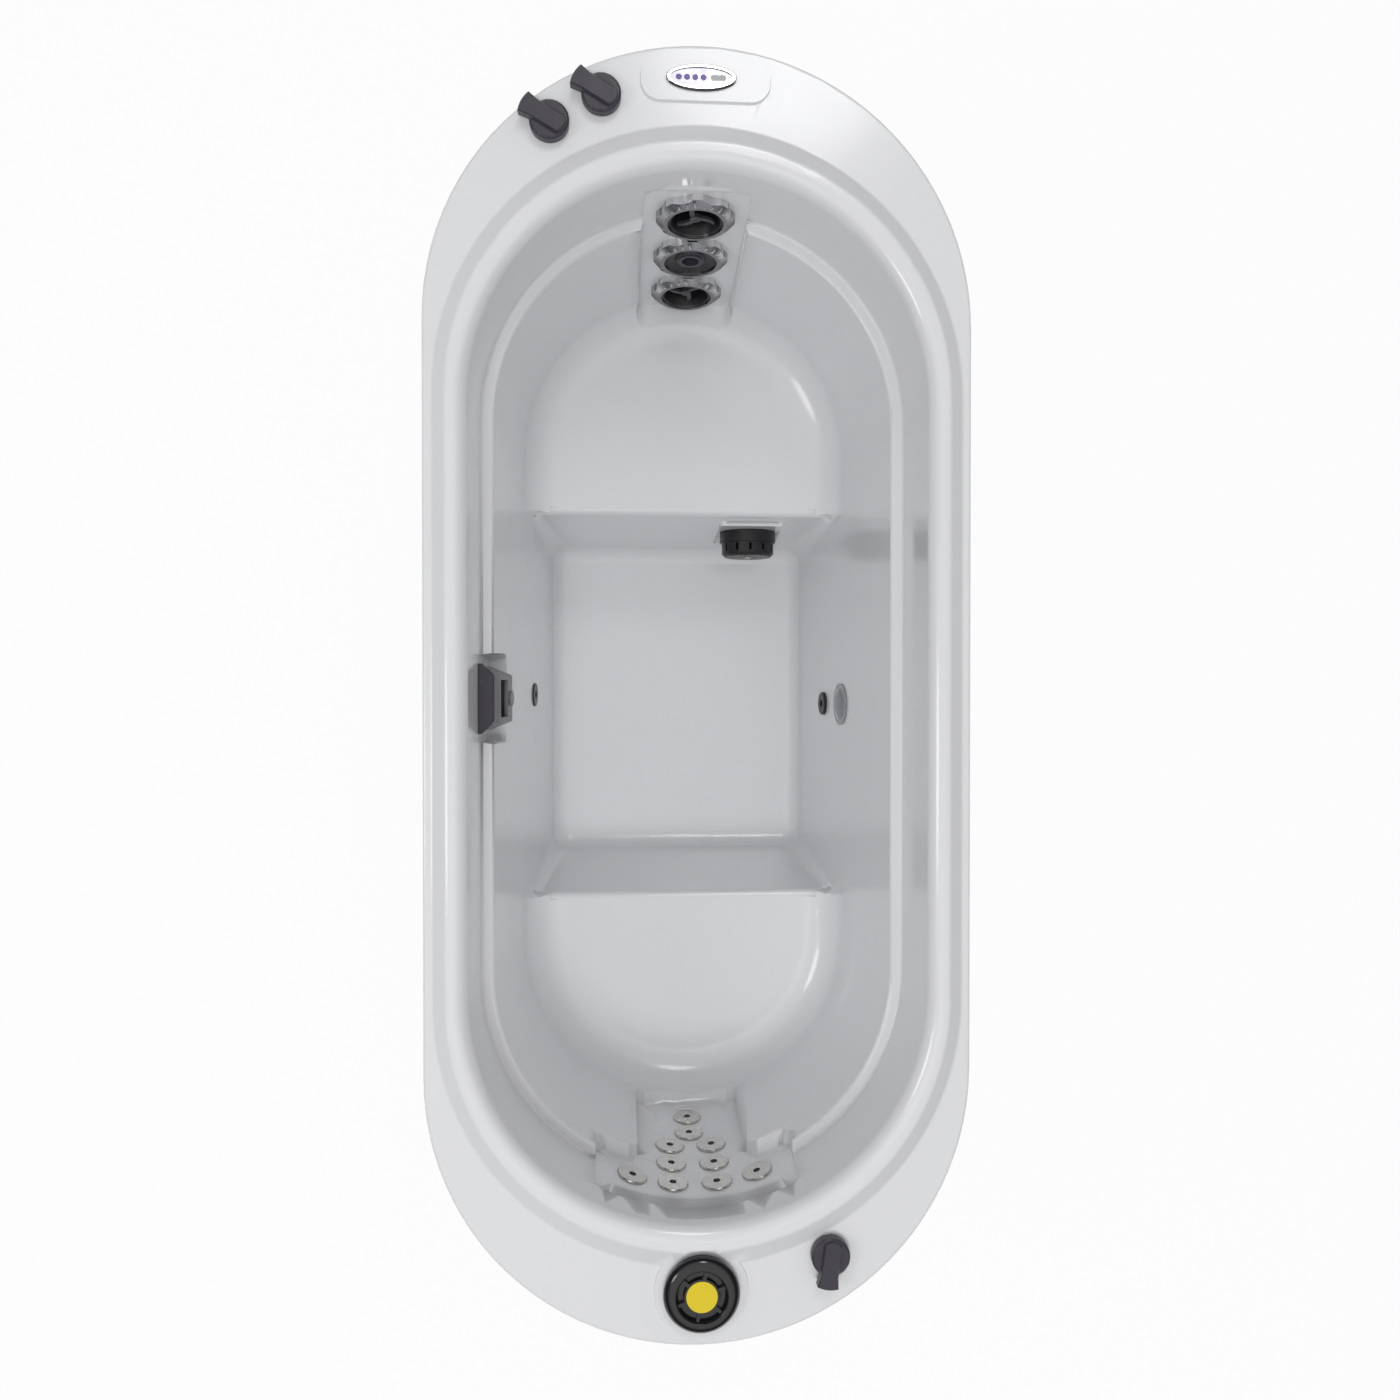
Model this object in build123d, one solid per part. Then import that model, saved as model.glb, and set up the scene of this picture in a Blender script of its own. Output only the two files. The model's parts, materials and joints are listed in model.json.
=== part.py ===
from build123d import *
import math
import os

# Two-seat oval hot tub. Millimetres, +Z up, long axis Y, origin on the floor under the middle.
# The jets are at the +Y end and the filter is at the -Y end.

# Overall size
LENGTH = 2000.0
WIDTH = 846.0
HEIGHT = 860.0

# Shell: rim, roll and decks
WALL = 8.0
SIDE_RIM = 68.0
END_DECK = 190.0
DECK_DROP = 18.0
LIP_DEPTH = 45.0
RIM_EDGE_RADIUS = 6.0
ROLL_FLANGE = 12.0
ROLL_SLOPE = 26.0
ROLL_END_FOOT = 120.0
ROLL_END_SLOPE = 34.0
ROLL_OUTER_RADIUS = 16.0
ROLL_INNER_RADIUS = 24.0
ROLL_FOOT_RADIUS = 11.0

# Shell: walls, ledge, seats and footwell
UPPER_TAPER = 1.0
LEDGE_DEPTH = 170.0
LEDGE_WIDTH = 20.0
LEDGE_RADIUS = 6.0
LOWER_TAPER = 6.3
SEAT_DEPTH = 500.0
SEAT_FILLET = 70.0
FLOOR_DEPTH = 780.0
FOOTWELL_JET_END = 355.0
FOOTWELL_FILTER_END = 382.0
FOOTWELL_JET_TAPER = 7.5
FOOTWELL_FILTER_TAPER = 12.0
FOOTWELL_TOP_CORNER = 12.0
FOOTWELL_CORNER = 40.0
FOOTWELL_FLOOR_FILLET = 36.0
SEAT_NOSE = 14.0
OUTER_SHOULDER = 0.5
SIDE_NUT_BACK = OUTER_SHOULDER + 0.4

# Large jets
JET_PITCH = 134.0
JET_TOP_ABOVE_LEDGE = 20.0
JET_FACE_RADIUS = 65.0
JET_FACE_HEIGHT = 18.0
JET_MOUTH_RADIUS = 46.0
JET_BARREL_RADIUS = 38.0
JET_BARREL_DEPTH = 70.0
JET_FLANGE_RADIUS = 52.0
JET_PIN_RADIUS = 3.0
JET_BALL_RADIUS = 30.0
JET_PAD_SET_BACK = 6.0
JET_PAD_HALF_WIDTH = 86.0
JET_PAD_BELOW = 319.0
JET_PAD_ABOVE = 90.0
PAD_DRAFT = 10.0

# Small jets
SMALL_JET_FACE_RADIUS = 26.0
SMALL_JET_BARREL_RADIUS = 14.0
SMALL_JET_BORE_RADIUS = 6.0
SMALL_JET_BARREL_DEPTH = 38.0
SMALL_JET_RECESS = 23.0
SMALL_JET_STEM_HALF = 95.0
SMALL_JET_BAR_HALF = 165.0
SMALL_JET_ROW_HALF = 37.0
SMALL_JET_OUTER_HALF = 105.0
SMALL_JET_ROW_DEPTHS = (162.0, 224.0, 285.0)
SMALL_JET_MIDDLE_DEPTHS = (332.0, 391.0)

# Suction, light and return fittings
SUCTION_X = 141.0
SUCTION_DEPTH = 640.0
SUCTION_RADIUS = 57.5
SUCTION_PROUD = 52.0
SUCTION_PAD_HALF = 50.0
LIGHT_Y = -14.0
LIGHT_DEPTH = 450.0
LIGHT_RADIUS = 40.0
RETURN_RIGHT_DEPTH = 565.0
RETURN_RIGHT_Y = -14.0
RETURN_LEFT_DEPTH = 535.0
RETURN_LEFT_Y = 4.0
RETURN_RADIUS = 23.0

# Wall skimmer, on the left wall at mid length
SKIMMER_RECESS_WIDTH = 145.0
SKIMMER_RECESS_HEIGHT = 140.0
SKIMMER_TOP_DEPTH = 130.0
SKIMMER_HOOD_WIDTH = 114.0
SKIMMER_FRONT_WIDTH = 78.0
SKIMMER_PROUD = 26.0
SKIMMER_HOOD_THICK = 12.0
SKIMMER_FRONT_HEIGHT = 104.0
SKIMMER_MOUTH_WIDTH = 62.0
SKIMMER_MOUTH_HEIGHT = 56.0

# Deck fittings
PANEL_Y = 946.0
PANEL_LENGTH = 108.0
PANEL_WIDTH = 40.0
PANEL_PAD = (200.0, 70.0, 5.0)
KEY_PITCH = 12.5
KEY_RADIUS = 4.3
KEY_TRAVEL = 0.5
AIR_KNOB_1 = (-230.0, 871.0)
AIR_KNOB_2 = (-152.0, 914.0)
AIR_HANDLE_ANGLE = 150.0
DIVERTER = (200.0, -861.0)
DIVERTER_HANDLE_ANGLE = 262.0
KNOB_RADIUS = 30.0
KNOB_HEIGHT = 26.0
KNOB_HANDLE_REACH = 47.0
KNOB_HANDLE_WIDTH = 33.0
FILTER_Y = -913.0
FILTER_CAP_RADIUS = 59.0
FILTER_PAD_RADIUS = 74.0
FILTER_PAD_HEIGHT = 3.0
CANISTER_RADIUS = 50.0
CANISTER_LENGTH = 440.0
CARTRIDGE_RADIUS = 40.0

# Cabinet and frame
CABINET_INSET = 10.0
PANEL_THICK = 8.0
PAN_HEIGHT = 30.0
PAN_FLOOR = 5.0
GROOVE_PITCH = 88.0
SPLIT_ANGLE = 40.0
TRIM_WIDTH = 12.0
POST_WIDTH = 40.0
POST_THICK = 20.0
BAND_THICK = 9.0
BAND_HEIGHT = 60.0
PIPE_RADIUS = 21.0
RETURN_LINE_RADIUS = 14.0
RETURN_LINE_Z = 55.0
HOSE_RADIUS = 9.0

# Fittings inside and on the cabinet
DISC_RADIUS = 24.0
CANISTER_PORT = 14.0
AIR_BODY_RADIUS = 15.0
AIR_BODY_DEPTH = 52.0
DIVERTER_BODY_RADIUS = 24.0
KNOB_FLANGE = 26.0
WEIR_REST = 40.0
PUMP_Y = 545.0
PUMP_Z = 100.0
HEATER_Z = 280.0
MANIFOLD_REACH = 100.0
AIR_REACH = 85.0
DRAIN_Z = 100.0
GLAND_X = 150.0
GLAND_BORE = 6.5

# Clearances
GAP = 0.3
FIT = 0.05

# Levels and half sizes that follow from the sizes above
deck_z = HEIGHT - DECK_DROP
under_deck = deck_z - WALL
lip_z = deck_z - LIP_DEPTH
ledge_z = HEIGHT - LEDGE_DEPTH
seat_z = HEIGHT - SEAT_DEPTH
floor_z = HEIGHT - FLOOR_DEPTH
rim_w = WIDTH / 2
rim_l = LENGTH / 2
well_w = rim_w - SIDE_RIM
well_l = rim_l - END_DECK
upper_slope = math.tan(math.radians(UPPER_TAPER))
lower_slope = math.tan(math.radians(LOWER_TAPER))
ledge_w = well_w - LEDGE_DEPTH * upper_slope
ledge_l = well_l - LEDGE_DEPTH * upper_slope
lower_w = ledge_w - LEDGE_WIDTH
lower_l = ledge_l - LEDGE_WIDTH
end_centre = lower_l - lower_w
cabinet_w = rim_w - CABINET_INSET
cabinet_l = rim_l - CABINET_INSET
cabinet_in = cabinet_w - PANEL_THICK
cabinet_centre = cabinet_l - cabinet_w
band_out = cabinet_in - 1.0
band_low = under_deck - BAND_HEIGHT
jet_seat_y = lower_l + JET_PAD_SET_BACK
panel_z = deck_z + PANEL_PAD[2]
display_x = 26.0
filter_pad_z = deck_z + FILTER_PAD_HEIGHT
cap_z = filter_pad_z + 6.6


def stadium(half_width, half_length, z):
    """Oval with straight sides along Y, at height z."""
    return Plane.XY.offset(z) * SlotOverall(2 * half_length, 2 * half_width, rotation=90)


def level_edges(shape, z, reach=None, centre=0.0):
    """Edges that lie flat at height z, and at a distance from the middle line if one is given."""
    found = []
    for edge in shape.edges():
        box = edge.bounding_box()
        if abs(box.min.Z - z) > 0.05 or abs(box.max.Z - z) > 0.05:
            continue
        point = edge @ 0.5
        away = math.hypot(point.X, max(0.0, abs(point.Y) - centre))
        if reach is None or abs(away - reach) < 1.0:
            found.append(edge)
    return found


def tube(outer, inner, low, high):
    """Ring about Z between two heights."""
    return Pos(0, 0, low) * extrude(Circle(outer) - Circle(inner), amount=high - low)


def rod(radius, low, high):
    """Cylinder about Z between two heights."""
    return Pos(0, 0, low) * extrude(Circle(radius), amount=high - low)


def pipe(points, radii, radius, bore=0.0):
    """Pipe along straight runs with rounded corners."""
    path = FilletPolyline(*points, radius=radii)
    start = Plane(origin=path @ 0, z_dir=path % 0)
    section = start * Circle(radius)
    if bore > 0:
        section = section - start * Circle(bore)
    return sweep(section, path=path)


def save(name, *pieces):
    """Write one sub-part, made of one or more separate solids."""
    solids = [solid for piece in pieces for solid in piece.solids()]
    shape = solids[0] if len(solids) == 1 else Compound(solids)
    export_step(shape, "parts/" + name + ".step")


# Where the wall fittings sit: local Z points into the well, local Y up the wall

def wall_frame(x, y, z, side_x, side_y, slope_degrees):
    """Frame on a wall that faces the direction (side_x, side_y) and leans out towards the top."""
    lean = math.radians(slope_degrees)
    flat = math.hypot(side_x, side_y)
    normal = (side_x / flat * math.cos(lean), side_y / flat * math.cos(lean), math.sin(lean))
    across = (-side_y / flat, side_x / flat, 0)
    return Plane(origin=(x, y, z), x_dir=across, z_dir=normal)


def side_wall_x(z):
    """Half width of the straight lower wall at height z."""
    return lower_w - (ledge_z - z) * lower_slope


def jet_frame(index):
    """Frame of large jet 0, 1 or 2, from the top down."""
    z = ledge_z + JET_TOP_ABOVE_LEDGE - JET_PITCH * index
    y = jet_seat_y + (z - ledge_z) * lower_slope
    return wall_frame(0, y, z, 0, -1, LOWER_TAPER)


def small_jet_frames():
    """Frames of the ten small jets on their conical recess."""
    places = [(0.0, depth) for depth in SMALL_JET_MIDDLE_DEPTHS]
    places += [(side * SMALL_JET_ROW_HALF, depth) for depth in SMALL_JET_ROW_DEPTHS for side in (-1, 1)]
    places += [(side * SMALL_JET_OUTER_HALF, SMALL_JET_ROW_DEPTHS[0] + 3.0) for side in (-1, 1)]
    frames = []
    for x, depth in places:
        z = HEIGHT - depth
        radius = recess_radius(z)
        y = -end_centre - math.sqrt(radius ** 2 - x ** 2)
        frames.append(wall_frame(x, y, z, -x, -end_centre - y, LOWER_TAPER))
    return frames


def recess_radius(z):
    """Radius of the small jets' recess at height z."""
    return lower_w + SMALL_JET_RECESS + (z - ledge_z) * lower_slope


suction_z = HEIGHT - SUCTION_DEPTH
suction_y = FOOTWELL_JET_END - 14.0
suction_frame = wall_frame(SUCTION_X, suction_y, suction_z, 0, -1, 0)
light_z = HEIGHT - LIGHT_DEPTH
light_frame = wall_frame(side_wall_x(light_z), LIGHT_Y, light_z, -1, 0, LOWER_TAPER)
right_z = HEIGHT - RETURN_RIGHT_DEPTH
right_frame = wall_frame(side_wall_x(right_z), RETURN_RIGHT_Y, right_z, -1, 0, LOWER_TAPER)
left_z = HEIGHT - RETURN_LEFT_DEPTH
left_frame = wall_frame(-side_wall_x(left_z), RETURN_LEFT_Y, left_z, 1, 0, LOWER_TAPER)
skimmer_top = HEIGHT - SKIMMER_TOP_DEPTH
skimmer_x = -(ledge_w + 1.0)
mouth_top = skimmer_top - SKIMMER_HOOD_THICK - 14.0
mouth_mid = mouth_top - SKIMMER_MOUTH_HEIGHT / 2
weir_z = mouth_top - SKIMMER_MOUTH_HEIGHT + 6.0
gland_y = -cabinet_centre - math.sqrt(cabinet_w ** 2 - GLAND_X ** 2)
gland_frame = wall_frame(GLAND_X, gland_y, DRAIN_Z, GLAND_X, gland_y + cabinet_centre, 0)
drain_frame = wall_frame(0, -cabinet_l, DRAIN_Z, 0, -1, 0)


# Shell

def jet_pad(grow):
    """Flat pad of the large jets: the pocket it cuts and the block that it stands out by."""
    pad_height = JET_PAD_BELOW + JET_PAD_ABOVE
    middle = (JET_PAD_ABOVE - JET_PAD_BELOW) / 2
    origin = (0, jet_seat_y, ledge_z)
    face = wall_frame(*origin, 0, -1, LOWER_TAPER).offset(-grow) * Pos(0, middle)
    outline = RectangleRounded(2 * (JET_PAD_HALF_WIDTH + grow), pad_height + 2 * grow, 16)
    pocket = extrude(face * outline, 60, taper=-PAD_DRAFT)
    outline = RectangleRounded(2 * (JET_PAD_HALF_WIDTH - grow), pad_height - 2 * grow, 16)
    block = extrude(face * outline, -60, taper=-PAD_DRAFT)
    return pocket, block


def small_jet_recess(grow):
    """T-shaped conical recess of the small jets: its pocket and the block beyond its cone."""
    bar_low = ledge_z - 48.0
    bar_high = ledge_z + 98.0
    stem_low = ledge_z - 268.0
    parts = []
    for step in (grow, -grow):
        bar = Rectangle(2 * (SMALL_JET_BAR_HALF + step), bar_high - bar_low + 2 * step)
        stem = Rectangle(2 * (SMALL_JET_STEM_HALF + step), bar_low + 40 - stem_low + step)
        outline = Pos(0, (bar_low + bar_high) / 2) * bar
        outline = outline + Pos(0, (bar_low + 40 + stem_low - step) / 2) * stem
        outline = fillet(outline.vertices(), 18)
        parts.append(extrude(Plane.XZ.offset(end_centre + 180) * outline, amount=280))
    top_z = bar_high + 40
    cone = extrude(Plane.XY.offset(top_z) * Pos(0, -end_centre) * Circle(recess_radius(top_z) + grow),
                   amount=-(top_z - stem_low + 40), taper=LOWER_TAPER)
    return parts[0] & cone, parts[1] - cone


def skimmer_recess(grow):
    """Pocket that brings the wall flush with the upper wall round the skimmer."""
    face = Plane(origin=(skimmer_x - grow, 0, skimmer_top - SKIMMER_RECESS_HEIGHT / 2), x_dir=(0, 1, 0),
                 z_dir=(1, 0, 0))
    outline = RectangleRounded(SKIMMER_RECESS_WIDTH + 2 * grow, SKIMMER_RECESS_HEIGHT + 2 * grow, 12)
    return extrude(face * outline, 70, taper=-8)


def suction_pad(grow):
    """Upright flat pad of the suction on the sloping riser."""
    face = suction_frame.offset(-grow) * Pos(0, 10)
    pocket = extrude(face * RectangleRounded(2 * (SUCTION_PAD_HALF + 14 + grow), 170 + 2 * grow, 12), 50, taper=-10)
    block = extrude(face * RectangleRounded(2 * (SUCTION_PAD_HALF + 14 - grow), 170 - 2 * grow, 12), -40, taper=-10)
    return pocket, block


def seat_nose(side, edge_y, taper):
    """The sliver of space that rounds a seat's front edge."""
    lean = math.radians(taper)
    reach = SEAT_NOSE / math.tan((math.pi / 2 + lean) / 2)
    edge = (side * edge_y, seat_z)
    on_seat = (edge[0] + side * reach, seat_z)
    on_riser = (edge[0] - side * reach * math.sin(lean), seat_z - reach * math.cos(lean))
    spare = side * 5.0
    corner = Polygon(on_seat, (on_seat[0], seat_z + 5), (edge[0] - spare, seat_z + 5),
                     (on_riser[0] - spare, on_riser[1]), on_riser, align=None)
    corner = corner - Pos(on_seat[0], seat_z - SEAT_NOSE) * Circle(SEAT_NOSE)
    half = side_wall_x(seat_z - SEAT_NOSE)
    return extrude(Plane.YZ.offset(-half) * corner, amount=2 * half, dir=(1, 0, 0))


def well(grow):
    """The space of the well, grown outwards by a wall thickness."""
    upper = extrude(stadium(well_w + grow, well_l + grow, HEIGHT), amount=-(LEDGE_DEPTH + grow), taper=UPPER_TAPER)
    if grow == 0:
        upper = fillet(level_edges(upper, ledge_z), LEDGE_RADIUS)
    start = ledge_z + 10
    lower = extrude(stadium(lower_w + grow + 10 * lower_slope, lower_l + grow + 10 * lower_slope, start),
                    amount=-(start - seat_z + grow), taper=LOWER_TAPER)
    lower = fillet(level_edges(lower, seat_z - grow), SEAT_FILLET + grow)
    high = seat_z + 90
    low = floor_z - grow
    sections = []
    shoulder = OUTER_SHOULDER if grow > 0 else 0.0
    for z, corner in ((high, FOOTWELL_TOP_CORNER + grow), (low, FOOTWELL_CORNER + grow)):
        half = side_wall_x(z) + grow + shoulder
        north = FOOTWELL_JET_END + (z - seat_z) * math.tan(math.radians(FOOTWELL_JET_TAPER)) + grow
        south = FOOTWELL_FILTER_END + (z - seat_z) * math.tan(math.radians(FOOTWELL_FILTER_TAPER)) + grow
        outline = RectangleRounded(2 * half, north + south, corner)
        sections.append(Plane.XY.offset(z) * Pos(0, (north - south) / 2) * outline)
    foot = loft(sections, ruled=True)
    foot = fillet(level_edges(foot, low), FOOTWELL_FLOOR_FILLET + grow)
    space = upper + lower + foot
    if grow == 0:
        space = fillet(level_edges(space, ledge_z, lower_w, end_centre), LEDGE_RADIUS)
        space = space + seat_nose(1, FOOTWELL_JET_END, FOOTWELL_JET_TAPER)
        space = space + seat_nose(-1, FOOTWELL_FILTER_END, FOOTWELL_FILTER_TAPER)
    for pocket, block in (jet_pad(grow), small_jet_recess(grow), suction_pad(grow)):
        space = space - block
        space = space + pocket
    return space + skimmer_recess(grow)


def rim():
    """Deck plate, turned-down lip and hollow roll round the well, still without the well."""
    foot_w = rim_w - ROLL_FLANGE
    foot_l = rim_l - ROLL_END_FOOT
    top_w = foot_w - ROLL_SLOPE
    top_l = foot_l - ROLL_END_SLOPE
    deck = extrude(stadium(rim_w, rim_l, lip_z), amount=LIP_DEPTH)
    deck = fillet(level_edges(deck, deck_z), RIM_EDGE_RADIUS)
    roll = loft([stadium(foot_w, foot_l, deck_z - 2), stadium(top_w, top_l, HEIGHT)], ruled=True)
    roll = fillet(level_edges(roll, HEIGHT), ROLL_OUTER_RADIUS)
    body = deck + roll
    seam = [edge for edge in level_edges(body, deck_z) if abs((edge @ 0.5).X) < foot_w + 1
            and abs((edge @ 0.5).Y) < foot_l + 1]
    body = fillet(seam, ROLL_FOOT_RADIUS)
    panel_pad = Pos(7, PANEL_Y, deck_z - 1) * extrude(RectangleRounded(PANEL_PAD[0], PANEL_PAD[1], 30),
                                                      PANEL_PAD[2] + 1, taper=12)
    filter_pad = Pos(0, FILTER_Y, deck_z - 1) * extrude(Circle(FILTER_PAD_RADIUS), FILTER_PAD_HEIGHT + 1, taper=20)
    body = body + panel_pad + filter_pad
    body = body - Pos(0, FILTER_Y, filter_pad_z) * extrude(Circle(FILTER_CAP_RADIUS + 2), 30, taper=-30)
    hollow = extrude(stadium(rim_w - WALL, rim_l - WALL, lip_z), amount=under_deck - lip_z)
    under_roll = loft([stadium(foot_w - WALL, foot_l - WALL, under_deck - 1),
                       stadium(top_w - WALL, top_l - WALL, HEIGHT - WALL - 2)], ruled=True)
    inner = extrude(stadium(well_w + ROLL_INNER_RADIUS, well_l + ROLL_INNER_RADIUS, under_deck - 1),
                    amount=HEIGHT - under_deck)
    return body - hollow - (under_roll - inner)


def shell_holes():
    """Cutters for everything that passes through the shell."""
    cuts = [jet_frame(index) * rod(JET_BARREL_RADIUS + 0.5, -30, 30) for index in range(3)]
    cuts += [frame * rod(SMALL_JET_BARREL_RADIUS + 0.5, -20, 20) for frame in small_jet_frames()]
    cuts.append(suction_frame * rod(27.5, -40, 40))
    cuts.append(light_frame * rod(30.5, -20, 20))
    cuts.append(right_frame * rod(12.5, -20, 20))
    cuts.append(left_frame * rod(12.5, -20, 20))
    cuts.append(Pos(skimmer_x, 0, mouth_mid) * Box(40, SKIMMER_MOUTH_WIDTH + 8, SKIMMER_MOUTH_HEIGHT + 8))
    for x, y in (AIR_KNOB_1, AIR_KNOB_2):
        cuts.append(Pos(x, y, deck_z) * rod(AIR_BODY_RADIUS + 0.5, -30, 30))
    cuts.append(Pos(*DIVERTER, deck_z) * rod(DIVERTER_BODY_RADIUS + 0.5, -30, 30))
    cuts.append(Pos(0, FILTER_Y, deck_z) * rod(CANISTER_RADIUS + 0.5, -30, 30))
    cuts.append(Pos(0, PANEL_Y, deck_z - 20) * extrude(Ellipse(46.5, 13.5), amount=40))
    return cuts


def shell():
    """One-piece moulded shell."""
    body = rim() + well(WALL)
    body = body - well(0.0)
    body = fillet(level_edges(body, HEIGHT, well_w, well_l - well_w), ROLL_INNER_RADIUS)
    for cut in shell_holes():
        body = body - cut
    return body


# Large jets

def jet_body(index):
    """Black wall body with a flared mouth, its pin or ball seat, and its water and air barbs."""
    back = -JET_BARREL_DEPTH
    body = rod(JET_BARREL_RADIUS, back, 2) + rod(JET_FLANGE_RADIUS, 2, 6)
    body = body + rod(JET_MOUTH_RADIUS - 0.5, 6, 14)
    throat = JET_BARREL_RADIUS - 8
    if index == 1:
        flare = Pos(0, 0, 8) * extrude(Circle(JET_BALL_RADIUS - 2.5), 7, taper=-70)
        ball = Pos(0, 0, -6) * Sphere(JET_BALL_RADIUS + GAP)
        body = body - flare - ball - rod(18, -50, 0)
    else:
        flare = Pos(0, 0, -16) * extrude(Circle(throat), 31, taper=-20)
        body = body - flare - rod(throat, -50, -15)
        web = Pos(0, 0, -24) * extrude(Rectangle(2 * throat + 2, 8) + Rectangle(8, 2 * throat + 2), 6)
        body = body + web + rod(6, -18, 2 - GAP) + rod(JET_PIN_RADIUS, 0, 9)
    water = Pos(0, 0, -52) * Rot(0, -90, 0) * rod(15, JET_BARREL_RADIUS - 4, JET_BARREL_RADIUS + 22)
    air = Pos(0, 0, -36) * Rot(0, 90, 0) * rod(7, JET_BARREL_RADIUS - 4, JET_BARREL_RADIUS + 14)
    return jet_frame(index) * (body + water + air)


def jet_face(index):
    """Chrome turning face: a bevelled ring with eight thumb scallops round its mouth."""
    crown = 52.0
    seat = 6 + GAP
    profile = Polyline((JET_MOUTH_RADIUS, seat), (JET_MOUTH_RADIUS, JET_FACE_HEIGHT), (crown, JET_FACE_HEIGHT),
                       (JET_FACE_RADIUS, 11), (JET_FACE_RADIUS, GAP), (JET_FLANGE_RADIUS + 1, GAP),
                       (JET_FLANGE_RADIUS + 1, seat), (JET_MOUTH_RADIUS, seat))
    ring = revolve(Plane.XZ * make_face(profile), axis=Axis.Z)
    scallop = 60.0
    for step in range(8):
        place = Rot(0, 0, 45 * step + 22.5) * Pos(JET_FACE_RADIUS + scallop - 4.5, 0)
        ring = ring - place * rod(scallop, 0, JET_FACE_HEIGHT + 1)
    return jet_frame(index) * ring


def jet_rotor(index):
    """Three swept arms on a hub that runs on the body's pin."""
    hub = rod(9, 2, 9)
    reach = JET_MOUTH_RADIUS - 11
    arm = make_face([ThreePointArc((0, 4), (reach * 0.5, 11), (reach, 6)), Line((reach, 6), (reach, 1)),
                     ThreePointArc((reach, 1), (reach * 0.5, 3), (0, -5)), Line((0, -5), (0, 4))])
    for step in range(3):
        hub = hub + Rot(0, 0, 120 * step + 30 + 60 * (index == 0)) * Pos(0, 0, 3) * extrude(arm, 5)
    hub = hub - rod(JET_PIN_RADIUS + FIT, 0, 12)
    return jet_frame(index) * hub


def jet_nozzle():
    """Ball nozzle that tilts in the middle jet."""
    ball = Pos(0, 0, -6) * Sphere(JET_BALL_RADIUS)
    ball = ball & rod(JET_BALL_RADIUS + 1, -24, 12)
    ball = ball + rod(21, 8, 14) - rod(15, -30, 20)
    return jet_frame(1) * ball


def lock_nut(bore, outer, thick):
    """Eight-sided back nut, its front face at the shell's back face."""
    return Pos(0, 0, -WALL - 0.1 - thick) * extrude(RegularPolygon(outer, 8) - Circle(bore + 0.1), thick)


# Small jets

def small_jet_seat():
    """How far a flat disc stands off the curved recess."""
    return SMALL_JET_FACE_RADIUS ** 2 / (2 * recess_radius(ledge_z - 150)) + 0.1


def small_jet_face():
    """Stainless disc with a rounded rim and a small hole."""
    low = small_jet_seat()
    edge = SMALL_JET_FACE_RADIUS - 1.5
    outline = Polyline((SMALL_JET_BORE_RADIUS, low), (SMALL_JET_FACE_RADIUS, low), (SMALL_JET_FACE_RADIUS, low + 1.7),
                       (edge, low + 3.2), (SMALL_JET_BORE_RADIUS, low + 3.2), (SMALL_JET_BORE_RADIUS, low))
    return revolve(Plane.XZ * make_face(outline), axis=Axis.Z)


def small_jet_body():
    """Barrel through the shell under the disc, with its back nut."""
    barrel = rod(SMALL_JET_BARREL_RADIUS, -SMALL_JET_BARREL_DEPTH, small_jet_seat() - 0.1)
    return barrel + Pos(0, 0, -WALL - 6.3) * extrude(RegularPolygon(SMALL_JET_BARREL_RADIUS + 6, 8), 6)


# Suction, light and returns

def suction_cover():
    """Drum-shaped cover in two steps with slots round its side."""
    step = SUCTION_PROUD * 0.45
    drum = rod(SUCTION_RADIUS, 6, step) + rod(SUCTION_RADIUS - 4, step, SUCTION_PROUD)
    drum = chamfer(drum.edges().sort_by(Axis.Z)[-1], 6)
    drum = drum - rod(SUCTION_RADIUS - 10, 0, SUCTION_PROUD - 6)
    slot = Pos(0, 0, step + 11) * Box(3 * SUCTION_RADIUS, 5, 14)
    for turn in range(6):
        drum = drum - Rot(0, 0, 30 * turn) * slot
    for turn in range(3):
        post = Rot(0, 0, 120 * turn) * Pos(SUCTION_RADIUS - 16, 0) * rod(4, 6, SUCTION_PROUD - 5)
        drum = drum + post
    return suction_frame * drum


def suction_body():
    """Wall body with a ported plate and the post that the cover sits on."""
    body = rod(SUCTION_RADIUS, 0.2, 6) + rod(27, -60, 1)
    body = body - rod(18, -70, -2)
    for turn in range(6):
        body = body - Rot(0, 0, 60 * turn) * Pos(13, 0) * rod(4.5, -10, 10)
    post = rod(7, -2, SUCTION_PROUD - 6.3)
    return suction_frame * (body + post)


def light_lens():
    """Domed lens with a flat rim."""
    dome = Pos(0, 0, -52) * Sphere(64) & rod(LIGHT_RADIUS - 6, 3, 20)
    return light_frame * (rod(LIGHT_RADIUS, 0.2, 3.2) + dome)


def light_housing():
    """Cup behind the lens."""
    cup = rod(30, -34, 0) - rod(26, -30, 5)
    return light_frame * (cup + rod(8, -46, -34))


def return_fitting(frame, proud):
    """Small black wall fitting with a nozzle hole."""
    body = rod(RETURN_RADIUS, 0.2, proud) + rod(12, -34, 1)
    body = chamfer(body.edges().sort_by(Axis.Z)[-1], 1.5)
    return frame * (body - rod(7, -28, proud + 1))


# Wall skimmer: pieces in the tub's own directions

def skimmer_outline(half_back, half_front, depth):
    """Plan of a piece that narrows from the wall to its front."""
    straight = depth * 0.25
    return Polygon((0.2, -half_back), (straight, -half_back), (depth, -half_front), (depth, half_front),
                   (straight, half_back), (0.2, half_back), align=None)


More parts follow.
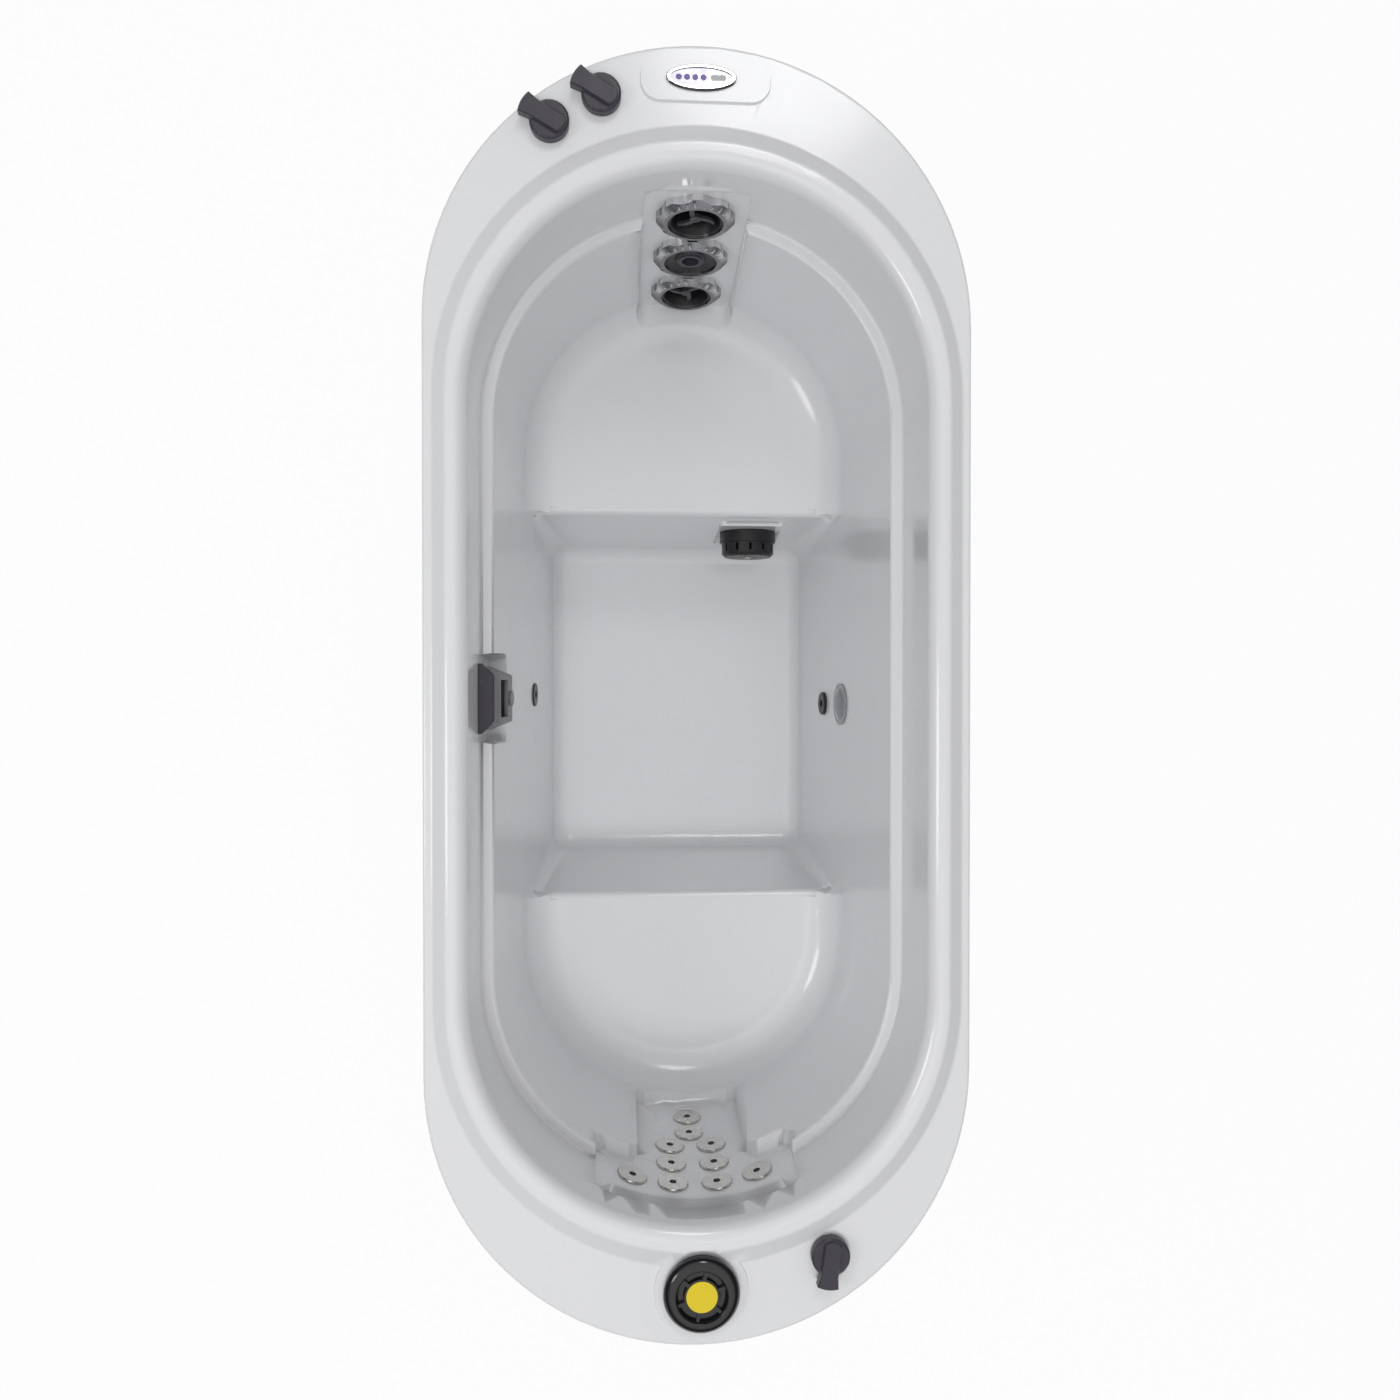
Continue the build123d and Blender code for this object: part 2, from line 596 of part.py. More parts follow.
def skimmer_hood():
    """Dark top plate over the skimmer's mouth."""
    low = skimmer_top - SKIMMER_HOOD_THICK
    plan = skimmer_outline(SKIMMER_HOOD_WIDTH / 2, SKIMMER_FRONT_WIDTH / 2 - 3, SKIMMER_PROUD - 1)
    plate = Pos(skimmer_x, 0, low) * extrude(plan, SKIMMER_HOOD_THICK)
    return chamfer(plate.edges().group_by(Axis.Z)[-1], 1.2)


def skimmer_front():
    """Grey front frame, parallel to the wall, with the mouth and faceted sides."""
    high = skimmer_top - SKIMMER_HOOD_THICK - 0.1
    low = high - SKIMMER_FRONT_HEIGHT
    lean = SKIMMER_FRONT_HEIGHT * lower_slope
    top_proud = SKIMMER_PROUD + 7
    half = SKIMMER_FRONT_WIDTH / 2
    block = loft([Plane.XY.offset(high) * skimmer_outline(half + 14, half, top_proud),
                  Plane.XY.offset(low) * skimmer_outline(half + 14, half, top_proud + lean)], ruled=True)
    ridge = block.edges().group_by(Axis.Z)[-1].sort_by(Axis.X)[-1]
    block = chamfer(ridge, 6)
    inner = loft([Plane.XY.offset(high - 7) * skimmer_outline(half + 8, half - 4, top_proud - 5),
                  Plane.XY.offset(low + 4) * skimmer_outline(half + 8, half - 4, top_proud - 5 + lean)], ruled=True)
    block = block - Pos(-1, 0, 0) * inner
    mouth = Pos(top_proud, 0, mouth_mid) * Box(40, SKIMMER_MOUTH_WIDTH, SKIMMER_MOUTH_HEIGHT)
    boss = Pos(top_proud + lean * 0.84, 0, low + 17) * Rot(0, 90 - LOWER_TAPER, 0) * rod(13, -3, 4)
    return Pos(skimmer_x, 0, 0) * (block - mouth + boss)


def skimmer_housing():
    """Box behind the wall that carries the weir's pin, with its outlet spigot."""
    high = mouth_top + 12
    low = high - SKIMMER_MOUTH_HEIGHT - 46
    half = SKIMMER_MOUTH_WIDTH / 2 + 16
    back = -cabinet_in + 3
    front = skimmer_x - WALL - 0.2
    box = Pos((back + front) / 2, 0, (high + low) / 2) * Box(front - back, 2 * half, high - low)
    hollow = Pos((back + front) / 2, 0, (high + low) / 2) * Box(front - back - 7, 2 * half - 8, high - low - 8)
    neck = Pos((front + skimmer_x) / 2, 0, mouth_mid) * Box(
        skimmer_x - front + 0.2, SKIMMER_MOUTH_WIDTH + 7.8, SKIMMER_MOUTH_HEIGHT + 7.8)
    neck_hole = Pos(skimmer_x, 0, mouth_mid) * Box(60, SKIMMER_MOUTH_WIDTH, SKIMMER_MOUTH_HEIGHT)
    reach = SKIMMER_MOUTH_WIDTH / 2 + 2
    pin = Pos(skimmer_x - 2, 0, weir_z) * Rot(90, 0, 0) * rod(2, -reach, reach)
    spigot = Pos((back + front) / 2, 0, low) * (rod(14, -26, 1) - rod(11, -30, 6))
    hole = Pos((back + front) / 2, 0, low) * rod(11, -1, 6)
    neck_hole = neck_hole & Pos(skimmer_x - 8, 0, mouth_mid) * Box(24, 200, 200)
    return box - hollow + neck - neck_hole + pin - hole + spigot


def skimmer_weir():
    """Flap that leans back on its pin when the tub is dry."""
    length = SKIMMER_MOUTH_HEIGHT - 10
    flap = Pos(0, 0, length / 2 + 1) * Box(3, SKIMMER_MOUTH_WIDTH - 4, length)
    hinge = Rot(90, 0, 0) * rod(3.6, -SKIMMER_MOUTH_WIDTH / 2 + 2, SKIMMER_MOUTH_WIDTH / 2 - 2)
    flap = flap + hinge - Rot(90, 0, 0) * rod(2 + FIT, -60, 60)
    return Pos(skimmer_x - 2, 0, weir_z) * Rot(0, -WEIR_REST, 0) * flap


# Control panel

def oval(half_length, half_width, low, high):
    """Elliptical plate on the deck at the control panel."""
    return Pos(0, PANEL_Y, low) * extrude(Ellipse(half_length, half_width), high - low)


def key_places():
    """Centres of the four keys along the panel."""
    return [(KEY_PITCH * (step - 2.75), PANEL_Y) for step in range(4)]


def panel_bezel():
    """Chrome ring round the control panel."""
    ring = oval(PANEL_LENGTH / 2, PANEL_WIDTH / 2, panel_z, panel_z + 5)
    ring = chamfer(ring.edges().sort_by(Axis.Z)[-1], 2)
    return ring - oval(PANEL_LENGTH / 2 - 6, PANEL_WIDTH / 2 - 5, panel_z - 1, panel_z + 6)


def panel_face():
    """Silver face plate with holes for the keys and a place for the display."""
    plate = oval(PANEL_LENGTH / 2 - 6.1, PANEL_WIDTH / 2 - 5.1, panel_z, panel_z + 3)
    for x, y in key_places():
        plate = plate - Pos(x, y, panel_z) * rod(KEY_RADIUS + 0.2, 1, 5)
    display = Pos(display_x, PANEL_Y, panel_z + 2) * extrude(RectangleRounded(23.2, 8.2, 3.5), 3)
    return plate - display


def panel_display():
    """Dark display window."""
    return Pos(display_x, PANEL_Y, panel_z + 2) * extrude(RectangleRounded(23, 8, 3.4), 1.3)


def panel_key(place):
    """Low round key."""
    low = panel_z + 1 + KEY_TRAVEL + 0.1
    return Pos(place[0], place[1], low) * extrude(Circle(KEY_RADIUS), 2.3, taper=8)


def panel_housing():
    """Electronics housing that hangs through the deck."""
    return oval(46, 13, panel_z - 32, panel_z)


# Knobs

def knob_body(place, radius, flange, depth):
    """Valve body through the deck with a flange, a bottom port and a stem."""
    body = rod(radius, -depth, 0) + rod(flange, 0, 3) + rod(5, 3, 18)
    return Pos(place[0], place[1], deck_z) * body


def knob(place, angle):
    """Round knob with a raised lever across it that reaches past its edge."""
    low = 3 + GAP
    base = rod(KNOB_RADIUS, low, KNOB_HEIGHT - 6)
    base = chamfer(base.edges().sort_by(Axis.Z)[-1], 4)
    half = KNOB_HANDLE_WIDTH / 2
    waist = half - 3
    start = -KNOB_RADIUS + 4
    plan = make_face([Line((start + 6, -waist), (KNOB_RADIUS - 4, -waist)),
                      Line((KNOB_RADIUS - 4, -waist), (KNOB_HANDLE_REACH - 3, -half)),
                      ThreePointArc((KNOB_HANDLE_REACH - 3, -half), (KNOB_HANDLE_REACH, 0),
                                    (KNOB_HANDLE_REACH - 3, half)),
                      Line((KNOB_HANDLE_REACH - 3, half), (KNOB_RADIUS - 4, waist)),
                      Line((KNOB_RADIUS - 4, waist), (start + 6, waist)),
                      ThreePointArc((start + 6, waist), (start, 0), (start + 6, -waist))])
    lever = Pos(0, 0, 10) * extrude(plan, KNOB_HEIGHT - 10)
    lever = chamfer(lever.edges().group_by(Axis.Z)[-1], 1.5)
    bore = rod(5 + FIT, 0, 18 + GAP)
    hollow = rod(KNOB_FLANGE + 0.5, 0, 3 + GAP)
    return Pos(place[0], place[1], deck_z) * Rot(0, 0, angle) * (base + lever - bore - hollow)


# Filter

def filter_cap():
    """Glossy cap: a rounded outer ring, a lobed groove and a centre boss over a plug skirt."""
    low = cap_z
    profile = make_face([Line((0, low), (FILTER_CAP_RADIUS, low)), Line((FILTER_CAP_RADIUS, low),
                        (FILTER_CAP_RADIUS, low + 5)),
                        ThreePointArc((FILTER_CAP_RADIUS, low + 5), (FILTER_CAP_RADIUS - 8, low + 13),
                                      (FILTER_CAP_RADIUS - 19, low + 14)),
                        Line((FILTER_CAP_RADIUS - 19, low + 14), (36, low + 5)), Line((36, low + 5), (29, low + 5)),
                        Line((29, low + 5), (27, low + 11)), Line((27, low + 11), (0, low + 11)),
                        Line((0, low + 11), (0, low))])
    cap = revolve(Plane.XZ * profile, axis=Axis.Z)
    for turn in range(6):
        rib = Rot(0, 0, 60 * turn + 20) * Pos(31, 0, low + 7.5) * Box(14, 5, 6)
        cap = cap + rib
    cap = cap - rod(DISC_RADIUS + 0.1, low + 10, low + 20)
    skirt = tube(CANISTER_RADIUS - 6, CANISTER_RADIUS - 9, low - 14, low + 1)
    return Pos(0, FILTER_Y, 0) * (cap + skirt)


def canister():
    """Filter canister that hangs in the deck, open at the top."""
    low = under_deck - CANISTER_LENGTH
    body = rod(CANISTER_RADIUS, low, filter_pad_z) + rod(FILTER_CAP_RADIUS - 2, filter_pad_z, filter_pad_z + 4)
    body = body - rod(CANISTER_RADIUS - 5, low + 5, HEIGHT)
    spigot = rod(CANISTER_PORT, low - 24, low + 1) - rod(CANISTER_PORT - 4, low - 30, low + 10)
    return Pos(0, FILTER_Y, 0) * (body - rod(CANISTER_PORT - 4, low - 5, low + 10) + spigot)


def cartridge():
    """Pleated cartridge between two end caps."""
    low = under_deck - CANISTER_LENGTH + 5 + GAP
    high = under_deck - 30
    points = []
    for turn in range(48):
        radius = CARTRIDGE_RADIUS - 2 if turn % 2 else CARTRIDGE_RADIUS - 9
        angle = math.radians(7.5 * turn)
        points.append((radius * math.cos(angle), radius * math.sin(angle)))
    pleats = Pos(0, 0, low + 10) * extrude(Polygon(*points, align=None), high - low - 20)
    caps = rod(CARTRIDGE_RADIUS, low, low + 10) + rod(CARTRIDGE_RADIUS, high - 10, high)
    return Pos(0, FILTER_Y, 0) * (pleats + caps - rod(14, low - 1, high - 5))


# Cabinet: panels between radial splits, from the pan's rim up to the shell's lip

def sector(side, spread):
    """Wedge of an end of the tub, within an angle of the long axis, on the +Y or -Y side."""
    reach = 3 * WIDTH
    start = math.radians(90 - spread)
    centre = cabinet_centre * side
    points = [(0, centre), (reach * math.cos(start), centre + side * reach * math.sin(start)),
              (-reach * math.cos(start), centre + side * reach * math.sin(start))]
    return extrude(Polygon(*points, align=None), HEIGHT, dir=(0, 0, 1))


def cabinet_wall():
    """The whole oval wall, before it is split."""
    low = PAN_HEIGHT
    high = lip_z - 2.0
    wall = extrude(stadium(cabinet_w, cabinet_l, low), high - low)
    return wall - extrude(stadium(cabinet_in, cabinet_l - PANEL_THICK, low - 1), high - low + 2)


def grooved(wall):
    """Shallow upright grooves round the outside."""
    low = PAN_HEIGHT + 25
    high = lip_z - 27
    middle = (low + high) / 2
    cutter = Box(3, 4, high - low)
    count = int(cabinet_centre / GROOVE_PITCH)
    for step in range(-count, count + 1):
        for side in (-1, 1):
            wall = wall - Pos(side * cabinet_w, step * GROOVE_PITCH, middle) * cutter
    turns = int(math.pi * cabinet_w / GROOVE_PITCH)
    for step in range(1, turns):
        angle = 180 * step / turns
        if abs(angle - SPLIT_ANGLE) < 4 or abs(angle - 180 + SPLIT_ANGLE) < 4:
            continue
        for side in (-1, 1):
            wall = wall - Pos(0, side * cabinet_centre, middle) * Rot(0, 0, side * angle) * Pos(cabinet_w, 0) * cutter
    return wall


def split_places(offset_degrees=0.0):
    """Frames at the four panel joints: X points outwards, Z up, origin on the end's centre line."""
    angles = [SPLIT_ANGLE - offset_degrees, 180 - SPLIT_ANGLE + offset_degrees]
    frames = []
    for side in (1, -1):
        for angle in angles:
            frames.append(Pos(0, side * cabinet_centre, 0) * Rot(0, 0, side * angle))
    return frames


def panel_trims():
    """Upright strips that fill the four panel joints."""
    low = PAN_HEIGHT + 0.2
    high = lip_z - 2.2
    trims = []
    for place in split_places():
        strip = Pos(cabinet_w - PANEL_THICK / 2, 0, (low + high) / 2) * Box(PANEL_THICK, TRIM_WIDTH, high - low)
        trims.append(place * strip)
    return trims


def top_band():
    """Bent band under the deck that carries the rim."""
    band = extrude(stadium(band_out, band_out + cabinet_centre, band_low), BAND_HEIGHT)
    return band - extrude(stadium(band_out - BAND_THICK, band_out - BAND_THICK + cabinet_centre, band_low - 1),
                          BAND_HEIGHT + 2)


def frame_posts():
    """Posts under the band, and bearers under the footwell."""
    pieces = []
    post_height = band_low - PAN_FLOOR
    post_mid = PAN_FLOOR + post_height / 2
    for place in split_places():
        post = Pos(band_out - POST_THICK / 2, 0, post_mid) * Box(POST_THICK, POST_WIDTH, post_height)
        post = place * post
        pieces.append(post - stud_holes())
    for side in (-1, 1):
        for y in (-cabinet_centre * 0.55, cabinet_centre * 0.55):
            pieces.append(Pos(side * (band_out - POST_THICK / 2), y, post_mid) * Box(POST_THICK, POST_WIDTH, post_height))
    bearer_high = floor_z - WALL
    for y in (-200.0, 200.0):
        pieces.append(Pos(0, y, (PAN_FLOOR + bearer_high) / 2) * Box(440, 45, bearer_high - PAN_FLOOR))
    return pieces


def stud_places():
    """Where the access panel's push-in studs meet the jet-end posts."""
    turn = math.radians(SPLIT_ANGLE + 2.2)
    x = (cabinet_in - 1) * math.cos(turn)
    y = cabinet_centre + (cabinet_in - 1) * math.sin(turn)
    return [(side * x, y, z) for side in (-1, 1) for z in (130.0, 640.0)]


def studs(radius, length):
    """Studs along Y, from inside the access panel towards the posts."""
    whole = None
    for x, y, z in stud_places():
        stud = Pos(x, y + 6, z) * Rot(90, 0, 0) * rod(radius, 0, length)
        whole = stud if whole is None else whole + stud
    return whole


def stud_holes():
    """Holes in the posts for the studs."""
    return studs(3 + 0.25, 40)


def base_pan():
    """Tray that everything stands on."""
    tray = extrude(stadium(cabinet_w, cabinet_l, 0), PAN_HEIGHT)
    tray = tray - extrude(stadium(cabinet_in, cabinet_l - PANEL_THICK, PAN_FLOOR), PAN_HEIGHT)
    return tray


# Equipment under the seats

def pump_motor():
    """Finned motor on a foot, its axis along Y."""
    start = PUMP_Y + 38
    axis = Pos(SUCTION_X, start, PUMP_Z) * Rot(-90, 0, 0)
    motor = axis * rod(70, 0, 210)
    for turn in range(10):
        fin = axis * Rot(0, 0, 18 * turn + 9) * Pos(0, 0, 105) * Box(156, 4, 170)
        motor = motor + fin
    bell = axis * rod(74, 210, 250)
    foot = Pos(SUCTION_X, start + 105, (PAN_FLOOR + PUMP_Z) / 2) * Box(120, 150, PUMP_Z - PAN_FLOOR)
    box = Pos(SUCTION_X, start + 100, PUMP_Z + 80) * Box(70, 90, 36)
    shaft = axis * rod(8, -20, 0)
    return motor + bell + foot + box + shaft


def pump_wet_end():
    """Volute with its inlet on the axis and its outlet at the top."""
    axis = Pos(SUCTION_X, PUMP_Y - 38, PUMP_Z) * Rot(-90, 0, 0)
    volute = axis * (rod(84, 0, 70) + rod(28, -24, 0))
    outlet = Pos(SUCTION_X, PUMP_Y - 3, PUMP_Z) * rod(28, 0, 112)
    hollow = axis * rod(8 + 0.3, 45, 90) + axis * rod(PIPE_RADIUS, -40, 20)
    return volute + outlet - hollow - Pos(SUCTION_X, PUMP_Y - 3, PUMP_Z + 60) * rod(PIPE_RADIUS, 0, 60)


def heater_tube():
    """Steel heater tube with end flanges and two element terminals."""
    along = Pos(0, PUMP_Y - 3, HEATER_Z) * Rot(0, 90, 0)
    body = along * (rod(30, -170, 60) + rod(38, -176, -166) + rod(38, 56, 66))
    for x in (-120, -30):
        body = body + Pos(x, PUMP_Y - 30, HEATER_Z) * Rot(90, 0, 0) * rod(7, -4, 18)
    return body


def control_box():
    """Control box on the pan, with a lip for its lid."""
    return Pos(-180, 560, PAN_FLOOR + 75) * (Box(200, 240, 150) - Pos(0, 0, 6) * Box(188, 228, 142))


def control_lid():
    """Lid of the control box."""
    lid = Pos(-180, 560, PAN_FLOOR + 150.2 + 6) * Box(208, 248, 12)
    lid = chamfer(lid.edges().group_by(Axis.Z)[-1], 3)
    return lid


def suction_line():
    """Pipe from the suction body down to the pump, joined by the filter's return along the side."""
    start_y = suction_y + 60.2
    drop_y = start_y + 45
    main = pipe([(SUCTION_X, start_y, suction_z), (SUCTION_X, drop_y, suction_z), (SUCTION_X, drop_y, PUMP_Z),
                 (SUCTION_X, PUMP_Y - 38 + 18, PUMP_Z)], [24, 24], PIPE_RADIUS - 0.1)
    port_z = under_deck - CANISTER_LENGTH - 24.2
    side_x = band_out - POST_THICK - 40
    line = pipe([(0, FILTER_Y, port_z), (0, FILTER_Y, RETURN_LINE_Z), (side_x, -cabinet_centre * 0.7, RETURN_LINE_Z),
                 (side_x, drop_y - 60, RETURN_LINE_Z), (SUCTION_X, drop_y, PUMP_Z)],
                [40, 90, 60], RETURN_LINE_RADIUS)
    tee = drain_frame * Pos(0, 0, -60.2) * Rot(180, 0, 0) * rod(12, 0, cabinet_l + FILTER_Y - 60.2)
    return main + line + tee


def pressure_line():
    """Pump outlet to the heater, the heater to the jets, and the jets' manifold with its branches."""
    y = PUMP_Y - 3
    riser = pipe([(SUCTION_X, y, PUMP_Z + 80), (SUCTION_X, y, HEATER_Z), (66.2, y, HEATER_Z)], [30], PIPE_RADIUS - 0.1)
    foot_point = jet_frame(2).from_local_coords(Vector(-MANIFOLD_REACH, -90, -52))
    run = pipe([(-176.2, y, HEATER_Z), (-280, y, HEATER_Z), (-280, y + 200, HEATER_Z),
                (foot_point.X, foot_point.Y - 10, HEATER_Z), tuple(foot_point)], [50, 50, 40], PIPE_RADIUS)
    return riser, run


def manifold():
    """Upright pipe beside the jets with one branch to each."""
    top = jet_frame(0)
    length = 2 * JET_PITCH / math.cos(math.radians(LOWER_TAPER))
    body = Pos(-MANIFOLD_REACH, 0, -52) * Rot(90, 0, 0) * rod(PIPE_RADIUS, -40, length + 90)
    for step in range(3):
        branch = Pos(-MANIFOLD_REACH, -step * length / 2, -52) * Rot(0, 90, 0) * rod(
            15, 0, MANIFOLD_REACH - JET_BARREL_RADIUS - 22.2)
        body = body + branch
    return top * body


def air_lines():
    """Air manifold beside the jets and the hose to the two air controls."""
    top = jet_frame(0)
    length = 2 * JET_PITCH / math.cos(math.radians(LOWER_TAPER))
    body = Pos(AIR_REACH, 0, -36) * Rot(90, 0, 0) * rod(HOSE_RADIUS, -50, length + 20)
    for step in range(3):
        branch = Pos(AIR_REACH, -step * length / 2, -36) * Rot(0, -90, 0) * rod(
            7, 0, AIR_REACH - JET_BARREL_RADIUS - 14.2)
        body = body + branch
    start = top.from_local_coords(Vector(AIR_REACH, 50, -36))
    z = deck_z - AIR_BODY_DEPTH - 12
    hose = pipe([tuple(start), (start.X, start.Y + 6, z), (AIR_KNOB_2[0], AIR_KNOB_2[1], z),
                 (AIR_KNOB_1[0], AIR_KNOB_1[1], z)], [10, 20], HOSE_RADIUS)
    risers = None
    for x, y in (AIR_KNOB_1, AIR_KNOB_2):
        riser = Pos(x, y, z) * rod(HOSE_RADIUS, -HOSE_RADIUS, 11.8)
        risers = riser if risers is None else risers + riser
    return top * body + hose + risers


def drain_valve():
    """Drain spigot behind a hole in the filter-end panel."""
    body = rod(13, -60, 0) + rod(30, -15, -9.4)
    return drain_frame * (body - rod(8, -70, 10))


def drain_cap():
    """Ribbed cap over the spigot."""
    cap = rod(18, -7.5, 8)
    for turn in range(10):
        cap = cap - Rot(0, 0, 36 * turn) * Pos(18.8, 0) * rod(1.8, -10, 10)
    return drain_frame * (cap - rod(13 + 0.1, -10, GAP))


def cable_gland():
    """Gland for the supply cable, in the filter-end panel."""
    body = rod(10, -20, 8) + Pos(0, 0, 0.2) * extrude(RegularPolygon(16, 6), 6) + rod(12, 6, 14)
    return gland_frame * (body - rod(GLAND_BORE, -30, 30))


def lock_nuts():
    """Back nuts of the larger fittings through the shell."""
    nuts = [jet_frame(index) * lock_nut(JET_BARREL_RADIUS, 54, 12) for index in range(3)]
    nuts.append(suction_frame * lock_nut(27, 40, 10))
    for place, bore, outer in ((light_frame, 30, 38), (right_frame, 12, 20), (left_frame, 12, 20)):
        nuts.append(place * Pos(0, 0, -SIDE_NUT_BACK) * lock_nut(bore, outer, 6))
    nuts += [Pos(x, y, deck_z) * lock_nut(AIR_BODY_RADIUS, 20, 6) for x, y in (AIR_KNOB_1, AIR_KNOB_2)]
    nuts.append(Pos(*DIVERTER, deck_z) * lock_nut(DIVERTER_BODY_RADIUS, 32, 8))
    return nuts


# Build

os.makedirs("parts", exist_ok=True)
save("shell", shell())
save("jet_bodies", *[jet_body(index) for index in range(3)])
save("jet_gaskets", *[jet_frame(index) * tube(50, 39, 0.05, 1.95) for index in range(3)])
for index in range(3):
    save("jet_face_" + str(index + 1), jet_face(index))
save("jet_rotor_1", jet_rotor(0))
save("jet_nozzle_2", jet_nozzle())
save("jet_rotor_3", jet_rotor(2))
save("small_jet_faces", *[place * small_jet_face() for place in small_jet_frames()])
save("small_jet_bodies", *[place * small_jet_body() for place in small_jet_frames()])
save("lock_nuts", *lock_nuts())
save("suction_cover", suction_cover())
save("suction_body", suction_body())
save("light_lens", light_lens())
save("light_housing", light_housing())
save("return_jet_right", return_fitting(right_frame, 6))
save("return_jet_left", return_fitting(left_frame, 3))
save("skimmer_hood", skimmer_hood())
save("skimmer_front", skimmer_front())
save("skimmer_housing", skimmer_housing())
save("skimmer_weir", skimmer_weir())
save("panel_bezel", panel_bezel())
save("panel_face", panel_face())
save("panel_display", panel_display())
save("panel_housing", panel_housing())
for index, place in enumerate(key_places()):
    save("panel_key_" + str(index + 1), panel_key(place))
save("air_control_bodies", *[knob_body(place, AIR_BODY_RADIUS, KNOB_FLANGE, AIR_BODY_DEPTH)
                             for place in (AIR_KNOB_1, AIR_KNOB_2)])
save("air_knob_1", knob(AIR_KNOB_1, AIR_HANDLE_ANGLE))
save("air_knob_2", knob(AIR_KNOB_2, AIR_HANDLE_ANGLE))
save("diverter_body", knob_body(DIVERTER, DIVERTER_BODY_RADIUS, KNOB_FLANGE, 90))
save("diverter_knob", knob(DIVERTER, DIVERTER_HANDLE_ANGLE))
save("filter_cap", filter_cap())
save("filter_cap_disc", Pos(0, FILTER_Y, cap_z + 10.1) * rod(DISC_RADIUS, 0, 1.5))
save("filter_cap_gasket", Pos(0, FILTER_Y, filter_pad_z + 4.3) * tube(FILTER_CAP_RADIUS - 3, 46, 0, 2))
save("filter_canister", canister())
save("filter_cartridge", cartridge())
save("base_pan", base_pan())
save("top_band", top_band())
save("frame", *frame_posts())
cabinet = grooved(cabinet_wall())
open_spread = 90 - SPLIT_ANGLE
half_trim = math.degrees((TRIM_WIDTH / 2 + GAP) / cabinet_in)
sides = cabinet - sector(1, open_spread + half_trim) - sector(-1, open_spread + half_trim)
save("side_panel_left", sides.solids().sort_by(Axis.X)[0])
save("side_panel_right", sides.solids().sort_by(Axis.X)[-1])
end_panel = cabinet & sector(-1, open_spread - half_trim)
save("end_panel", end_panel - drain_frame * rod(22, -20, 20) - gland_frame * rod(10.2, -20, 20))
save("access_panel", (cabinet & sector(1, open_spread - half_trim)) + studs(3, 28))
save("panel_trims", *panel_trims())
save("pump_motor", pump_motor())
save("pump_wet_end", pump_wet_end())
save("heater_tube", heater_tube())
save("control_box", control_box())
save("control_box_lid", control_lid())
save("suction_line", suction_line())
save("pressure_line", *pressure_line(), manifold())
save("air_lines", air_lines())
save("drain_valve", drain_valve())
save("drain_cap", drain_cap())
save("cable_gland", cable_gland())
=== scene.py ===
import json
import math

import bmesh
import bpy
from bpy.props import FloatProperty, FloatVectorProperty, IntProperty, PointerProperty
from mathutils import Matrix, Vector


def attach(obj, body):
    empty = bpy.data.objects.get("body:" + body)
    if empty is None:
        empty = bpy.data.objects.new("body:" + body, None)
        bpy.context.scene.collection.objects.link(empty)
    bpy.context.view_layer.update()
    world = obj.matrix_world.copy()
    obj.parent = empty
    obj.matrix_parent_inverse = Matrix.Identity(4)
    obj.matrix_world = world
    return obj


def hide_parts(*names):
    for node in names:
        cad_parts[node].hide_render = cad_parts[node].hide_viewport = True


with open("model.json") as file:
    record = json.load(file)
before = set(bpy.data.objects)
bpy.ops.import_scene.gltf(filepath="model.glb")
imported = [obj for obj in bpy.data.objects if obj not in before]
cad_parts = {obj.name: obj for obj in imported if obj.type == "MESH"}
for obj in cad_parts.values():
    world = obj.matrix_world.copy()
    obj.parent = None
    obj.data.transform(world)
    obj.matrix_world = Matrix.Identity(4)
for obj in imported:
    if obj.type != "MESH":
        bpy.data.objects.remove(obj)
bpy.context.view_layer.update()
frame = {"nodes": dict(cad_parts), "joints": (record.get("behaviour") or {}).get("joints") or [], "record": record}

bl_info = {
    "name": "Oval hot tub",
    "version": (1, 0, 0),
    "blender": (4, 5, 0),
    "location": "View3D > Sidebar > Hot tub",
    "description": "Dresses the packed hot tub: acrylic shell, jets, deck controls, filter, skimmer and cabinet",
    "category": "Object",
}

NODES = frame["nodes"]
JOINTS = {joint["name"]: joint for joint in frame["joints"]}
NODE_SLOT = {part["node"]: part["material_slot"] for part in frame["record"]["subparts"]}
NODE_BODY = {node: body for body, nodes in frame["record"]["behaviour"]["bodies"].items() for node in nodes}

# Sizes that every piece shares, in metres and radians
MERGE_DISTANCE = 0.00002
SMOOTH_ANGLE = math.radians(32)
FINE_SMOOTH_ANGLE = math.radians(24)
FLAT_ANGLE = math.radians(0.8)

# Where the small fasteners sit, in metres and radians
SPLIT_ANGLE = math.radians(40)
CABINET_CENTRE = 0.577
TRIM_FACE_RADIUS = 0.413
TRIM_SCREW_HEIGHTS = (0.10, 0.70)

# Painted reflection tones that the plated parts' colour is multiplied by, from a face that leans right down to one that
# lies flat
PAINTED_REFLECTION_STOPS = ((0.04, 0.06), (0.25, 0.12), (0.42, 0.60), (0.49, 0.10), (0.56, 0.34), (0.65, 0.95), (0.72, 0.22),
              (0.82, 0.98), (0.96, 0.80))


# Settings

